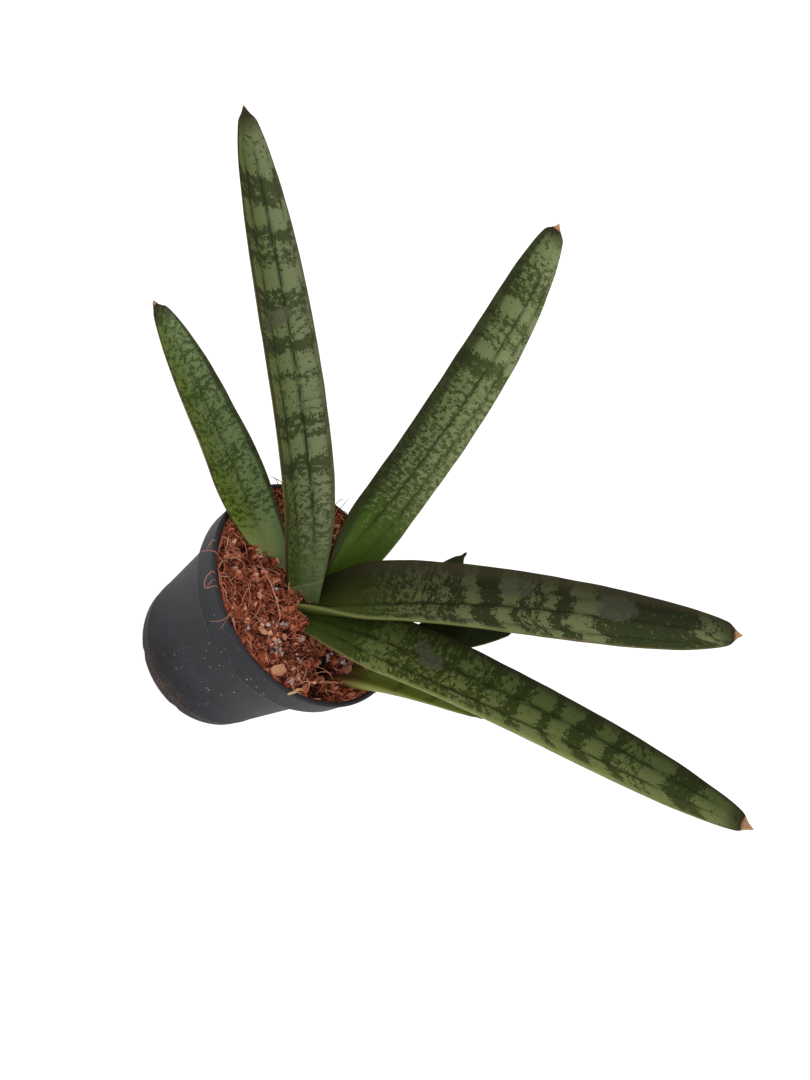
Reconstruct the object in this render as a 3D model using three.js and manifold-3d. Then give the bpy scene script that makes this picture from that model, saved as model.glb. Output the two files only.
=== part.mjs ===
// A young banded snake plant in a thin nursery pot filled with coconut coir.
// Millimetres, +Z up. The origin is the centre of the pot's flat underside.
import * as THREE from 'three';
import { mergeVertices } from 'three/addons/utils/BufferGeometryUtils.js';
import Module from 'manifold-3d';

// Pot
const potHeight = 85;
const rimRadius = 52.5;
const footRadius = 38.1;
const footRound = 6;
const bodyTopRadius = 45.4;
const collarHeight = 16;
const collarStep = 3.2;
const collarFlare = 2.6;
const wall = 1.2;
const rimBead = 0.7;
const rimHeight = 2.2;
const rimRound = 0.5;
const floorThickness = 1.6;
const potSides = 40;
const drainHoles = 8;
const drainRadius = 3.2;

// Potting mix
const mixGap = 0.35;
const mixTop = potHeight - 2.6;
const moundRise = 4.4;
const lumpHeight = 1.1;
const lumpWaves = 9;
const lumpLengths = [7, 16];
const mixReach = 48;
const mixSides = 32;
const mixRings = 8;
// A depth below zero is a mound.
const hollows = [
  { x: 32, y: -16, radius: 5, depth: 4.2 },
  { x: 41, y: -19, radius: 7, depth: 2.8 },
  { x: 17, y: -33, radius: 4, depth: 1.8 },
  { x: -30, y: 26, radius: 6, depth: 2.2 },
  { x: 5, y: -2, radius: 10, depth: 5 },
  { x: -1, y: -19.5, radius: 5, depth: -4 },
  { x: 6, y: -21, radius: 6, depth: -2.5 },
];
const fibreCount = 26;
const fibreRadius = 0.55;
const fibreSpread = 45;
const fibreLengths = [9, 20];
const fibreBow = 3;
const fibreRises = [0.2, 1.6];
const fibreDip = 1.4;
const chipCount = 18;
const chipSizes = [2.2, 4.6];
const chipTilt = 1.2;

// Leaves. A heading is the compass direction of the lean, in degrees from +X towards +Y, and turn is how
// far it swings by the tip. A lean is measured from the vertical, at the soil, at leanMiddle and at the tip.
// neck is the share of the width left at the soil, channel the depth of the hollow upper side against half
// the width, clasp the same at the soil, where it fades over claspReach, and slender how early it narrows.
// twist turns a section about the leaf's own line at the soil, in degrees, and fades over twistReach.
const leanMiddle = 0.3;
const leafThickness = 5;
const thinTip = 0.34;
const thinStart = -10;
const thinReach = 70;
const thickBase = 1.25;
const taperReach = 118;
const taperShare = 0.62;
const taperRoundness = 2.7;
const pointLength = 5;
const pointBluntness = 0.6;
const tipWidth = 2;
const neckStart = -4;
const neckReach = 58;
const flatTipStart = 4;
const flatTipReach = 60;
const flatTip = 0.12;
const foldOpen = 2;
const foldClasped = 1.35;
const marginBluntness = 0.85;
const sectionDrop = 0.4;
const rootLength = 19;
const rootStations = [1, 0.62, 0.3];
const rootPoint = 1;
const rootNarrowing = 0.35;
const rootFlattening = 0.7;
const rootStraightening = 0.65;
const rootPull = 0.5;
const clearance = 0.32;
const stationSpacing = 11;
const tipCrowding = 1.25;
const leafSides = 16;
const crown = new THREE.Vector3(3, 0, 0);
const offsetCrown = new THREE.Vector3(31, 16, 0);
const runnerCrown = new THREE.Vector3(36, -7, 0);
const leaves = [
  { name: 'leaf_back_upright', foot: [-1.5, 17.7], soil: -6, heading: 138, turn: 3.5, lean: [25, 30.6, 45.7],
    length: 186, width: 31.4, neck: 1, channel: 0.18, clasp: 0.7, claspReach: 50, slender: 0.45,
    twist: 25, twistReach: 40, crown },
  { name: 'leaf_left_long', foot: [1.8, -5.7], soil: -6, heading: 179, turn: 7.1, lean: [45.6, 55.5, 58.7],
    length: 201, width: 33.3, neck: 0.45, channel: 0.32, clasp: 0.64, claspReach: 150, slender: 0.51,
    twist: -25, twistReach: 55, crown },
  { name: 'leaf_right_back', foot: [4.1, -3.1], soil: -6, heading: 30, turn: -2.2, lean: [17.6, 34, 38.2],
    length: 184, width: 34.1, neck: 0.97, channel: 0.2, clasp: 0.72, claspReach: 150, slender: 0.47,
    twist: -26, twistReach: 40, crown },
  { name: 'leaf_left_short', foot: [-13.8, -8.4], soil: -1.6, heading: 187.7, turn: 18.3,
    lean: [80.9, 72.5, 61.6], length: 126, width: 28.9, neck: 0.46, channel: 0.42, clasp: 0.22,
    claspReach: 76, slender: 0.6, twist: -33, twistReach: 76, crown },
  { name: 'leaf_right_front', foot: [2, -14.4], soil: -6, heading: 4, turn: 0.2, lean: [38, 46.2, 48.1],
    length: 203, width: 32.3, neck: 0.4, channel: 0.42, clasp: 0.15, claspReach: 91, slender: 0.5,
    twist: 17, twistReach: 141, crown },
  { name: 'leaf_right_lowest', foot: [38.3, -7.8], soil: -5, heading: 5, turn: 0, lean: [25.6, 30, 52],
    length: 70, width: 15.4, neck: 0.84, channel: 0.32, clasp: 0.49, claspReach: 63, slender: 0.78,
    twist: 0, twistReach: 60, crown: runnerCrown },
  { name: 'offset_leaf_left', foot: [32.5, 18.5], soil: -3, heading: 116, turn: 0, lean: [16, 27, 38],
    length: 61, width: 17, neck: 0.5, channel: 0.27, clasp: 0.7, claspReach: 40, slender: 0.95,
    twist: 0, twistReach: 60, crown: offsetCrown },
  { name: 'offset_leaf_right', foot: [38, 16], soil: -3, heading: 30, turn: 0, lean: [8, 10, 28],
    length: 76, width: 27, neck: 0.25, channel: 0.25, clasp: 0.3, claspReach: 40, slender: 0.45,
    twist: 0, twistReach: 60, crown: offsetCrown },
];

// Rhizome
const rhizomeRadius = 13;
const rhizomeTop = potHeight - 15;
const rhizomeBottom = potHeight - 42;
const rhizomePoint = 0.4;
const rhizomeStages = [
  { share: 0, size: 0.5 },
  { share: 0.15, size: 0.85 },
  { share: 0.4, size: 1 },
  { share: 0.7, size: 0.95 },
  { share: 0.92, size: 0.7 },
  { share: 1, size: 0.4 },
];
const runnerRadius = 4;
const runnerFlare = 0.35;
const runnerFlareStart = 0.7;
const runnerPoint = 0.2;
const runnerStations = 9;
const runnerRoute = [
  new THREE.Vector3(crown.x, crown.y, rhizomeBottom + 7),
  new THREE.Vector3(16, 8, rhizomeBottom + 5),
  new THREE.Vector3(29, 15, rhizomeBottom + 9),
  new THREE.Vector3(offsetCrown.x, offsetCrown.y, rhizomeTop - 4),
];

const wasm = await Module();
wasm.setup();

function makeRandom(seed) {
  let state = seed;
  return () => {
    state = (state * 1664525 + 1013904223) % 4294967296;
    return state / 4294967296;
  };
}

function smoothStep(from, to, value) {
  return THREE.MathUtils.smoothstep(value, from, to);
}

// A closed body through rings of points, with a point at each end.
function loft(start, rings, end) {
  const sides = rings[0].length;
  const points = [start, ...rings.flat(), end];
  const last = points.length - 1;
  const faces = [];
  const at = (ring, side) => 1 + ring * sides + (side % sides);
  for (let side = 0; side < sides; side += 1) {
    faces.push(0, at(0, side + 1), at(0, side));
    faces.push(last, at(rings.length - 1, side), at(rings.length - 1, side + 1));
    for (let ring = 0; ring < rings.length - 1; ring += 1) {
      faces.push(at(ring, side), at(ring, side + 1), at(ring + 1, side));
      faces.push(at(ring, side + 1), at(ring + 1, side + 1), at(ring + 1, side));
    }
  }
  const geometry = new THREE.BufferGeometry().setFromPoints(points);
  geometry.setIndex(faces);
  return geometry;
}

function toSolid(geometry) {
  return new wasm.Manifold(new wasm.Mesh({
    numProp: 3,
    vertProperties: new Float32Array(geometry.attributes.position.array),
    triVerts: new Uint32Array(geometry.index.array),
  }));
}

// Only the largest body is kept, so that a cut leaves no loose scrap.
function toGeometry(solid) {
  const bodies = solid.decompose().sort((a, b) => b.volume() - a.volume());
  const mesh = bodies[0].getMesh();
  const geometry = new THREE.BufferGeometry();
  geometry.setAttribute('position', new THREE.BufferAttribute(mesh.vertProperties, 3));
  geometry.setIndex(new THREE.BufferAttribute(mesh.triVerts, 1));
  return geometry;
}

function addMesh(group, name, geometry, material) {
  geometry.computeVertexNormals();
  const mesh = new THREE.Mesh(geometry, material);
  mesh.name = name;
  group.add(mesh);
}

// The lean at a distance from the soil, in radians: on the smooth curve through a leaf's three leans, and
// more and more upright below the soil.
function leanAt(leaf, distance) {
  const [atSoil, atMiddle, atTip] = leaf.lean;
  const share = Math.max(distance / leaf.length, 0);
  const lean = atSoil * (share - leanMiddle) * (share - 1) / leanMiddle +
    atMiddle * share * (1 - share) / (leanMiddle * (1 - leanMiddle)) +
    atTip * share * (share - leanMiddle) / (1 - leanMiddle);
  return THREE.MathUtils.degToRad(lean * (1 - rootStraightening * depthAt(distance)));
}

function depthAt(distance) {
  return Math.max(-distance / rootLength, 0);
}

function headingAt(leaf, distance) {
  return THREE.MathUtils.degToRad(leaf.heading + leaf.turn * Math.max(distance / leaf.length, 0));
}

function alongAt(leaf, distance) {
  const lean = leanAt(leaf, distance);
  const heading = headingAt(leaf, distance);
  return new THREE.Vector3(
    Math.sin(lean) * Math.cos(heading), Math.sin(lean) * Math.sin(heading), Math.cos(lean));
}

// The point reached by following the middle of a leaf from the soil. Below the soil it nears the crown.
function pointAt(leaf, distance) {
  const steps = 40;
  const point = new THREE.Vector3(leaf.foot[0], leaf.foot[1], potHeight + leaf.soil);
  for (let step = 0; step < steps; step += 1) {
    point.addScaledVector(alongAt(leaf, distance * (step + 0.5) / steps), distance / steps);
  }
  point.x = THREE.MathUtils.lerp(point.x, leaf.crown.x, rootPull * depthAt(distance));
  point.y = THREE.MathUtils.lerp(point.y, leaf.crown.y, rootPull * depthAt(distance));
  return point;
}

// Half the width of a leaf. It narrows towards the tip, and into a neck at the soil.
function halfWidth(leaf, fromTip, fromSoil) {
  const reach = Math.min(taperReach, leaf.length * taperShare);
  const share = Math.min(fromTip / reach, 1);
  const taper = (1 - (1 - share) ** taperRoundness) ** leaf.slender;
  const point = Math.min((fromTip + pointBluntness) / pointLength, 1);
  const neck = THREE.MathUtils.lerp(leaf.neck, 1, smoothStep(neckStart, neckReach, fromSoil));
  const root = 1 - rootNarrowing * depthAt(fromSoil);
  return Math.max(leaf.width / 2 * taper * point * neck * root, tipWidth / 2);
}

function thicknessAt(fromTip, fromSoil) {
  const towardsTip = THREE.MathUtils.lerp(thinTip, 1, smoothStep(thinStart, thinReach, fromTip));
  const towardsSoil = THREE.MathUtils.lerp(thickBase, 1, smoothStep(0, thinReach, fromSoil));
  return leafThickness * towardsTip * towardsSoil;
}

// The directions along a section, across it, and from its underside to its upper side.
function axesAt(leaf, distance) {
  const along = alongAt(leaf, distance);
  const heading = headingAt(leaf, distance);
  const level = new THREE.Vector3(-Math.sin(heading), Math.cos(heading), 0);
  const upper = new THREE.Vector3().crossVectors(along, level).normalize();
  const twist = THREE.MathUtils.degToRad(leaf.twist * (1 - smoothStep(0, leaf.twistReach, distance)));
  return {
    across: level.clone().multiplyScalar(Math.cos(twist)).addScaledVector(upper, Math.sin(twist)),
    inner: upper.clone().multiplyScalar(Math.cos(twist)).addScaledVector(level, -Math.sin(twist)),
  };
}

// One section: convex below, channelled above, with blunt margins. grow widens it on every side.
function leafSection(leaf, fromSoil, grow) {
  const fromTip = leaf.length - fromSoil;
  const centre = pointAt(leaf, fromSoil);
  const { across, inner } = axesAt(leaf, fromSoil);
  const half = halfWidth(leaf, fromTip, fromSoil);
  const thickness = thicknessAt(fromTip, fromSoil) + 2 * grow;
  const clasping = 1 - smoothStep(neckStart, leaf.claspReach, fromSoil);
  const hollow = THREE.MathUtils.lerp(leaf.channel, leaf.clasp, clasping) *
    (1 - rootFlattening * depthAt(fromSoil));
  const channel = hollow - flatTip * (1 - smoothStep(flatTipStart, flatTipReach, fromTip));
  const fold = THREE.MathUtils.lerp(foldOpen, foldClasped, clasping);
  const ring = [];
  for (let side = 0; side < leafSides; side += 1) {
    const angle = 2 * Math.PI * side / leafSides;
    const spread = (half + grow) * Math.cos(angle);
    const middle = channel * half * (Math.abs(spread / half) ** fold - sectionDrop);
    const swell = Math.sign(Math.sin(angle)) * Math.abs(Math.sin(angle)) ** marginBluntness;
    ring.push(centre.clone()
      .addScaledVector(across, spread)
      .addScaledVector(inner, middle + thickness / 2 * swell));
  }
  return ring;
}

function leafGeometry(leaf, grow = 0) {
  const stations = rootStations.map((share) => -share * rootLength);
  const count = Math.ceil(leaf.length / stationSpacing);
  for (let index = 0; index < count; index += 1) {
    stations.push(leaf.length * (1 - (1 - index / count) ** tipCrowding));
  }
  const rings = stations.map((fromSoil) => leafSection(leaf, fromSoil, grow));
  const rootEnd = pointAt(leaf, -rootLength).addScaledVector(alongAt(leaf, -rootLength), -rootPoint - grow);
  const tip = pointAt(leaf, leaf.length).addScaledVector(alongAt(leaf, leaf.length), grow);
  return loft(rootEnd, rings, tip);
}

// Each leaf is cut by the leaves inside it, so that a sheath wraps its neighbour and never meets it.
function buildLeaves(rhizomePlug) {
  const solids = [];
  let inside = rhizomePlug;
  for (const leaf of leaves) {
    const solid = toSolid(leafGeometry(leaf)).subtract(inside);
    solids.push({ name: leaf.name, solid });
    inside = inside.add(toSolid(leafGeometry(leaf, clearance)));
  }
  return { solids, plug: inside };
}

function rhizomeGeometry(grow) {
  const sides = 12;
  const rings = [];
  for (const { share, size } of rhizomeStages) {
    const ring = [];
    for (let side = 0; side < sides; side += 1) {
      const angle = 2 * Math.PI * side / sides;
      const radius = rhizomeRadius * size + grow;
      const height = THREE.MathUtils.lerp(rhizomeBottom - grow, rhizomeTop + grow, share);
      ring.push(new THREE.Vector3(
        crown.x + radius * Math.cos(angle), crown.y + radius * Math.sin(angle), height));
    }
    rings.push(ring);
  }
  const bottom = new THREE.Vector3(crown.x, crown.y, rhizomeBottom - grow - rhizomePoint);
  const top = new THREE.Vector3(crown.x, crown.y, rhizomeTop + grow + rhizomePoint);
  return loft(bottom, rings, top);
}

// The runner leaves the rhizome low down and turns up under the offset.
function runnerGeometry(grow) {
  const route = new THREE.CatmullRomCurve3(runnerRoute);
  const sides = 8;
  const rings = [];
  const level = new THREE.Vector3(-offsetCrown.y, offsetCrown.x, 0).normalize();
  for (let station = 0; station <= runnerStations; station += 1) {
    const share = station / runnerStations;
    const along = route.getTangentAt(share);
    const up = new THREE.Vector3().crossVectors(along, level);
    const radius = runnerRadius * (1 + runnerFlare * smoothStep(runnerFlareStart, 1, share)) + grow;
    const ring = [];
    for (let side = 0; side < sides; side += 1) {
      const angle = 2 * Math.PI * side / sides;
      ring.push(route.getPointAt(share)
        .addScaledVector(level, radius * Math.cos(angle))
        .addScaledVector(up, radius * Math.sin(angle)));
    }
    rings.push(ring);
  }
  const start = route.getPointAt(0).addScaledVector(route.getTangentAt(0), -grow - runnerPoint);
  const end = route.getPointAt(1).addScaledVector(route.getTangentAt(1), grow + runnerPoint);
  return loft(start, rings, end);
}

function buildRhizome(grow) {
  return toSolid(rhizomeGeometry(grow)).add(toSolid(runnerGeometry(grow)));
}

// The pot's outer line from the flat underside up to the rim. inset moves it inwards for the inner line.
function potLine(inset) {
  const stepTop = potHeight - collarHeight;
  const stepFoot = stepTop - collarStep;
  const bodyRadius = (height) => THREE.MathUtils.mapLinear(
    height, footRound, stepFoot, footRadius, bodyTopRadius);
  const line = [];
  for (const degrees of [-90, -60, -30, 0]) {
    const angle = THREE.MathUtils.degToRad(degrees);
    line.push(new THREE.Vector2(
      footRadius - footRound + (footRound - inset) * Math.cos(angle),
      footRound + (footRound - inset) * Math.sin(angle)));
  }
  line.push(new THREE.Vector2(bodyRadius(stepFoot) - inset, stepFoot));
  line.push(new THREE.Vector2(bodyRadius(stepFoot) + 1 - inset, stepFoot + 0.35 * collarStep));
  line.push(new THREE.Vector2(rimRadius - collarFlare - inset, stepTop - 0.2 * collarStep));
  line.push(new THREE.Vector2(rimRadius - 0.65 * collarFlare - inset, stepTop + 0.5 * collarStep));
  line.push(new THREE.Vector2(rimRadius - rimBead - inset, potHeight - rimHeight));
  return line;
}

function potGeometry() {
  const outer = potLine(0);
  const inner = potLine(wall).reverse();
  const profile = [
    new THREE.Vector2(0, 0),
    ...outer,
    new THREE.Vector2(rimRadius, potHeight - rimHeight + rimBead),
    new THREE.Vector2(rimRadius, potHeight - rimRound),
    new THREE.Vector2(rimRadius - rimRound, potHeight),
    new THREE.Vector2(rimRadius - wall - rimBead, potHeight),
    ...inner.slice(0, -1),
    new THREE.Vector2(footRadius - footRound, floorThickness),
    new THREE.Vector2(0, floorThickness),
  ];
  return mergedLathe(profile, potSides);
}

function mergedLathe(profile, sides) {
  const lathe = new THREE.LatheGeometry(profile, sides);
  lathe.deleteAttribute('normal');
  lathe.deleteAttribute('uv');
  lathe.rotateX(Math.PI / 2);
  return mergeVertices(lathe, 0.001);
}

function buildPot() {
  let pot = toSolid(potGeometry());
  for (let hole = 0; hole < drainHoles; hole += 1) {
    const drill = new THREE.CylinderGeometry(drainRadius, drainRadius, 3 * footRound, 10);
    drill.deleteAttribute('normal');
    drill.deleteAttribute('uv');
    drill.rotateX(Math.PI / 2);
    drill.rotateY(-Math.PI / 4);
    drill.translate(footRadius - 0.3 * footRound, 0, 0.3 * footRound);
    drill.rotateZ(2 * Math.PI * (hole + 0.5) / drainHoles);
    pot = pot.subtract(toSolid(mergeVertices(drill, 0.001)));
  }
  return pot;
}

// Soft lumps from a few waves that run in different directions.
function makeWaves(random, count, shortest, longest) {
  const waves = [];
  for (let index = 0; index < count; index += 1) {
    const heading = random() * 2 * Math.PI;
    const length = THREE.MathUtils.lerp(shortest, longest, random());
    waves.push({
      x: 2 * Math.PI * Math.cos(heading) / length,
      y: 2 * Math.PI * Math.sin(heading) / length,
      phase: random() * 2 * Math.PI,
    });
  }
  return (x, y) => {
    let sum = 0;
    for (const wave of waves) {
      sum += Math.sin(wave.x * x + wave.y * y + wave.phase);
    }
    return sum / Math.sqrt(count);
  };
}

function makeMixHeight(random) {
  const lumps = makeWaves(random, lumpWaves, ...lumpLengths);
  return (x, y) => {
    const share = Math.min(Math.hypot(x, y) / (rimRadius - wall), 1);
    let height = mixTop + moundRise * (1 - share ** 2) + lumpHeight * lumps(x, y) * (1 - share ** 8);
    for (const hollow of hollows) {
      const distance = Math.hypot(x - hollow.x, y - hollow.y) / hollow.radius;
      height -= hollow.depth * Math.exp(-(distance ** 2));
    }
    return height;
  };
}

function mixGeometry(heightAt) {
  const rings = [];
  const side = potLine(wall + mixGap);
  side[0].y = floorThickness + mixGap;
  const sideRing = (radius, height) => {
    const ring = [];
    for (let index = 0; index < mixSides; index += 1) {
      const angle = 2 * Math.PI * index / mixSides;
      ring.push(new THREE.Vector3(radius * Math.cos(angle), radius * Math.sin(angle), height));
    }
    return ring;
  };
  for (const point of side.slice(0, -1)) {
    rings.push(sideRing(point.x, point.y));
  }
  const edge = side[side.length - 1].x - 0.2;
  for (let index = 0; index < mixRings; index += 1) {
    const radius = edge * (1 - index / mixRings);
    const ring = sideRing(radius, 0);
    for (const point of ring) {
      point.z = heightAt(point.x, point.y);
    }
    rings.push(ring);
  }
  const bottom = new THREE.Vector3(0, 0, floorThickness + mixGap);
  return loft(bottom, rings, new THREE.Vector3(0, 0, heightAt(0, 0)));
}

// A fibre is a bent three-sided strand that dips into the mix at both ends.
function fibreGeometry(random, heightAt) {
  const place = 2 * Math.PI * random();
  const radius = fibreSpread * Math.sqrt(random());
  const heading = 2 * Math.PI * random();
  const length = THREE.MathUtils.lerp(...fibreLengths, random());
  const bow = THREE.MathUtils.lerp(-fibreBow, fibreBow, random());
  const rise = THREE.MathUtils.lerp(...fibreRises, random());
  const points = [];
  const spans = 4;
  for (let index = 0; index <= spans; index += 1) {
    const share = index / spans;
    const arch = Math.sin(Math.PI * share);
    let x = radius * Math.cos(place) + (share - 0.5) * length * Math.cos(heading) -
      bow * arch * Math.sin(heading);
    let y = radius * Math.sin(place) + (share - 0.5) * length * Math.sin(heading) +
      bow * arch * Math.cos(heading);
    const limit = Math.min(1, mixReach / Math.hypot(x, y));
    x *= limit;
    y *= limit;
    points.push(new THREE.Vector3(x, y, heightAt(x, y) - fibreDip + (fibreDip + rise) * arch));
  }
  const rings = points.map((point, index) => {
    const along = points[Math.min(index + 1, spans)].clone()
      .sub(points[Math.max(index - 1, 0)]).normalize();
    const level = new THREE.Vector3(-along.y, along.x, 0).normalize();
    const up = new THREE.Vector3().crossVectors(along, level).normalize();
    const ring = [];
    for (let side = 0; side < 3; side += 1) {
      const angle = 2 * Math.PI * side / 3 + Math.PI / 2;
      ring.push(point.clone()
        .addScaledVector(level, fibreRadius * Math.cos(angle))
        .addScaledVector(up, fibreRadius * Math.sin(angle)));
    }
    return ring;
  });
  const reach = (from, to) => from.clone().addScaledVector(from.clone().sub(to).normalize(), 0.3);
  return loft(reach(points[0], points[1]), rings, reach(points[spans], points[spans - 1]));
}

function chipGeometry(random, heightAt) {
  const place = 2 * Math.PI * random();
  const radius = fibreSpread * Math.sqrt(random());
  const size = THREE.MathUtils.lerp(...chipSizes, random());
  const chip = new THREE.BoxGeometry(size, size * 0.7, size * 0.5);
  chip.deleteAttribute('normal');
  chip.deleteAttribute('uv');
  chip.rotateX((random() - 0.5) * chipTilt);
  chip.rotateY((random() - 0.5) * chipTilt);
  chip.rotateZ(2 * Math.PI * random());
  const x = radius * Math.cos(place);
  const y = radius * Math.sin(place);
  chip.translate(x, y, heightAt(x, y) + 0.1 * size);
  return mergeVertices(chip, 0.001);
}

function buildMix(plantPlug) {
  const random = makeRandom(7);
  const heightAt = makeMixHeight(random);
  const pieces = [toSolid(mixGeometry(heightAt))];
  for (let index = 0; index < fibreCount; index += 1) {
    pieces.push(toSolid(fibreGeometry(random, heightAt)));
  }
  for (let index = 0; index < chipCount; index += 1) {
    pieces.push(toSolid(chipGeometry(random, heightAt)));
  }
  return wasm.Manifold.union(pieces).subtract(plantPlug);
}

const plasticBlack = new THREE.MeshStandardMaterial({ color: 0x2b2e33, roughness: 0.45, metalness: 0 });
const coirBrown = new THREE.MeshStandardMaterial({ color: 0x7a3f2a, roughness: 0.95, metalness: 0 });
const rhizomeCream = new THREE.MeshStandardMaterial({ color: 0xc9a878, roughness: 0.8, metalness: 0 });
const leafGreen = new THREE.MeshStandardMaterial({ color: 0x4a6b38, roughness: 0.5, metalness: 0 });

const plant = new THREE.Group();
const { solids, plug } = buildLeaves(buildRhizome(clearance));
addMesh(plant, 'pot', toGeometry(buildPot()), plasticBlack);
addMesh(plant, 'potting_mix', toGeometry(buildMix(plug)), coirBrown);
addMesh(plant, 'rhizome', toGeometry(buildRhizome(0)), rhizomeCream);
for (const { name, solid } of solids) {
  addMesh(plant, name, toGeometry(solid), leafGreen);
}

export default plant;
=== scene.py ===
# A young banded snake plant in a thin nursery pot of coconut coir.
# Shapes are modelled in millimetres and scaled to metres when each piece is finished.
import math
import random
import bmesh
import bpy
from mathutils import Euler, Matrix, Vector, noise
from mathutils.bvhtree import BVHTree


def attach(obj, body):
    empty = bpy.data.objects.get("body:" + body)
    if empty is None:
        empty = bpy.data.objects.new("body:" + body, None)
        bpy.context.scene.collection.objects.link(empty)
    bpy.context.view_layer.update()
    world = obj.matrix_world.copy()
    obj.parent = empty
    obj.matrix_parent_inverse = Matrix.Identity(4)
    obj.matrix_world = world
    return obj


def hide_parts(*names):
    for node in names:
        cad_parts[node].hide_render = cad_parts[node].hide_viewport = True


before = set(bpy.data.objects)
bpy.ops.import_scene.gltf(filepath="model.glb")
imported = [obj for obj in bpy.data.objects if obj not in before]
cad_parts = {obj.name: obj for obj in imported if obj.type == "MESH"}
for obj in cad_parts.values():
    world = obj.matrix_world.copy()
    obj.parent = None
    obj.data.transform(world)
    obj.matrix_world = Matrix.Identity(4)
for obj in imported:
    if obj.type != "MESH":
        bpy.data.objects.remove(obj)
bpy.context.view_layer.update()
metresPerMm = 0.001


# Small helpers

def lerp(start, end, share):
    return start + (end - start) * share


def smoothStep(low, high, value):
    share = min(max((value - low) / (high - low), 0.0), 1.0)
    return share * share * (3 - 2 * share)


def colour(red, green, blue):
    # picture values from 0 to 255, made linear
    parts = []
    for part in (red, green, blue):
        part /= 255
        parts.append(part / 12.92 if part <= 0.04045 else ((part + 0.055) / 1.055) ** 2.4)
    return (*parts, 1.0)


def finishPiece(bm, name, smooth=True):
    bmesh.ops.scale(bm, vec=(metresPerMm,) * 3, verts=bm.verts)
    mesh = bpy.data.meshes.new(name)
    bm.to_mesh(mesh)
    bm.free()
    for face in mesh.polygons:
        face.use_smooth = smooth
    piece = bpy.data.objects.new(name, mesh)
    bpy.context.scene.collection.objects.link(piece)
    return piece


def cutPiece(piece, cutter):
    # the cut mesh takes the place of the piece's own
    cut = piece.modifiers.new("cut", "BOOLEAN")
    cut.operation = "DIFFERENCE"
    cut.solver = "EXACT"
    cut.object = cutter
    bpy.context.view_layer.update()
    depsgraph = bpy.context.evaluated_depsgraph_get()
    mesh = bpy.data.meshes.new_from_object(piece.evaluated_get(depsgraph), preserve_all_data_layers=True,
                                           depsgraph=depsgraph)
    piece.modifiers.clear()
    piece.data = mesh
    bpy.data.objects.remove(cutter)


def place(piece, node, slot, material):
    piece.data.materials.clear()
    piece.data.materials.append(material)
    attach(piece, "root")
    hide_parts(node)


# Shader maths: a socket that takes part in expressions

class Wire:
    def __init__(self, tree, socket=None):
        self.tree = tree
        self.socket = socket

    def add(self, kind, settings=None, values=None, out=0):
        node = self.tree.nodes.new("ShaderNode" + kind)
        for key, value in (settings or {}).items():
            if key == "stops":
                ramp = node.color_ramp
                while len(ramp.elements) < len(value):
                    ramp.elements.new(1.0)
                for element, (position, shade) in zip(ramp.elements, value):
                    element.position = position
                    element.color = shade if len(shade) == 4 else colour(*shade)
            else:
                setattr(node, key, value)
        for key, value in (values or {}).items():
            if isinstance(value, Wire):
                self.tree.links.new(value.socket, node.inputs[key])
            else:
                node.inputs[key].default_value = value
        return Wire(self.tree, node.outputs[out])

    def math(self, operation, *others):
        return self.add("Math", {"operation": operation}, dict(enumerate((self, *others))))

    def __add__(self, other):
        return self.math("ADD", other)

    def __mul__(self, other):
        return self.math("MULTIPLY", other)

    __radd__ = __add__
    __rmul__ = __mul__

    def __sub__(self, other):
        return self.math("SUBTRACT", other)

    def __rsub__(self, other):
        return self.add("Math", {"operation": "SUBTRACT"}, {0: other, 1: self})

    def __truediv__(self, other):
        return self.math("DIVIDE", other)

    def __abs__(self):
        return self.math("ABSOLUTE")

    def smooth(self, low, high):
        # a step that falls is one minus the step that rises
        if low > high:
            return 1 - self.smooth(high, low)
        return self.add("MapRange", {"interpolation_type": "SMOOTHSTEP"},
                        {"Value": self, "From Min": low, "From Max": high})

    def atMost(self, other):
        return self.math("MINIMUM", other)

    def atLeast(self, other):
        return self.math("MAXIMUM", other)


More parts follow.
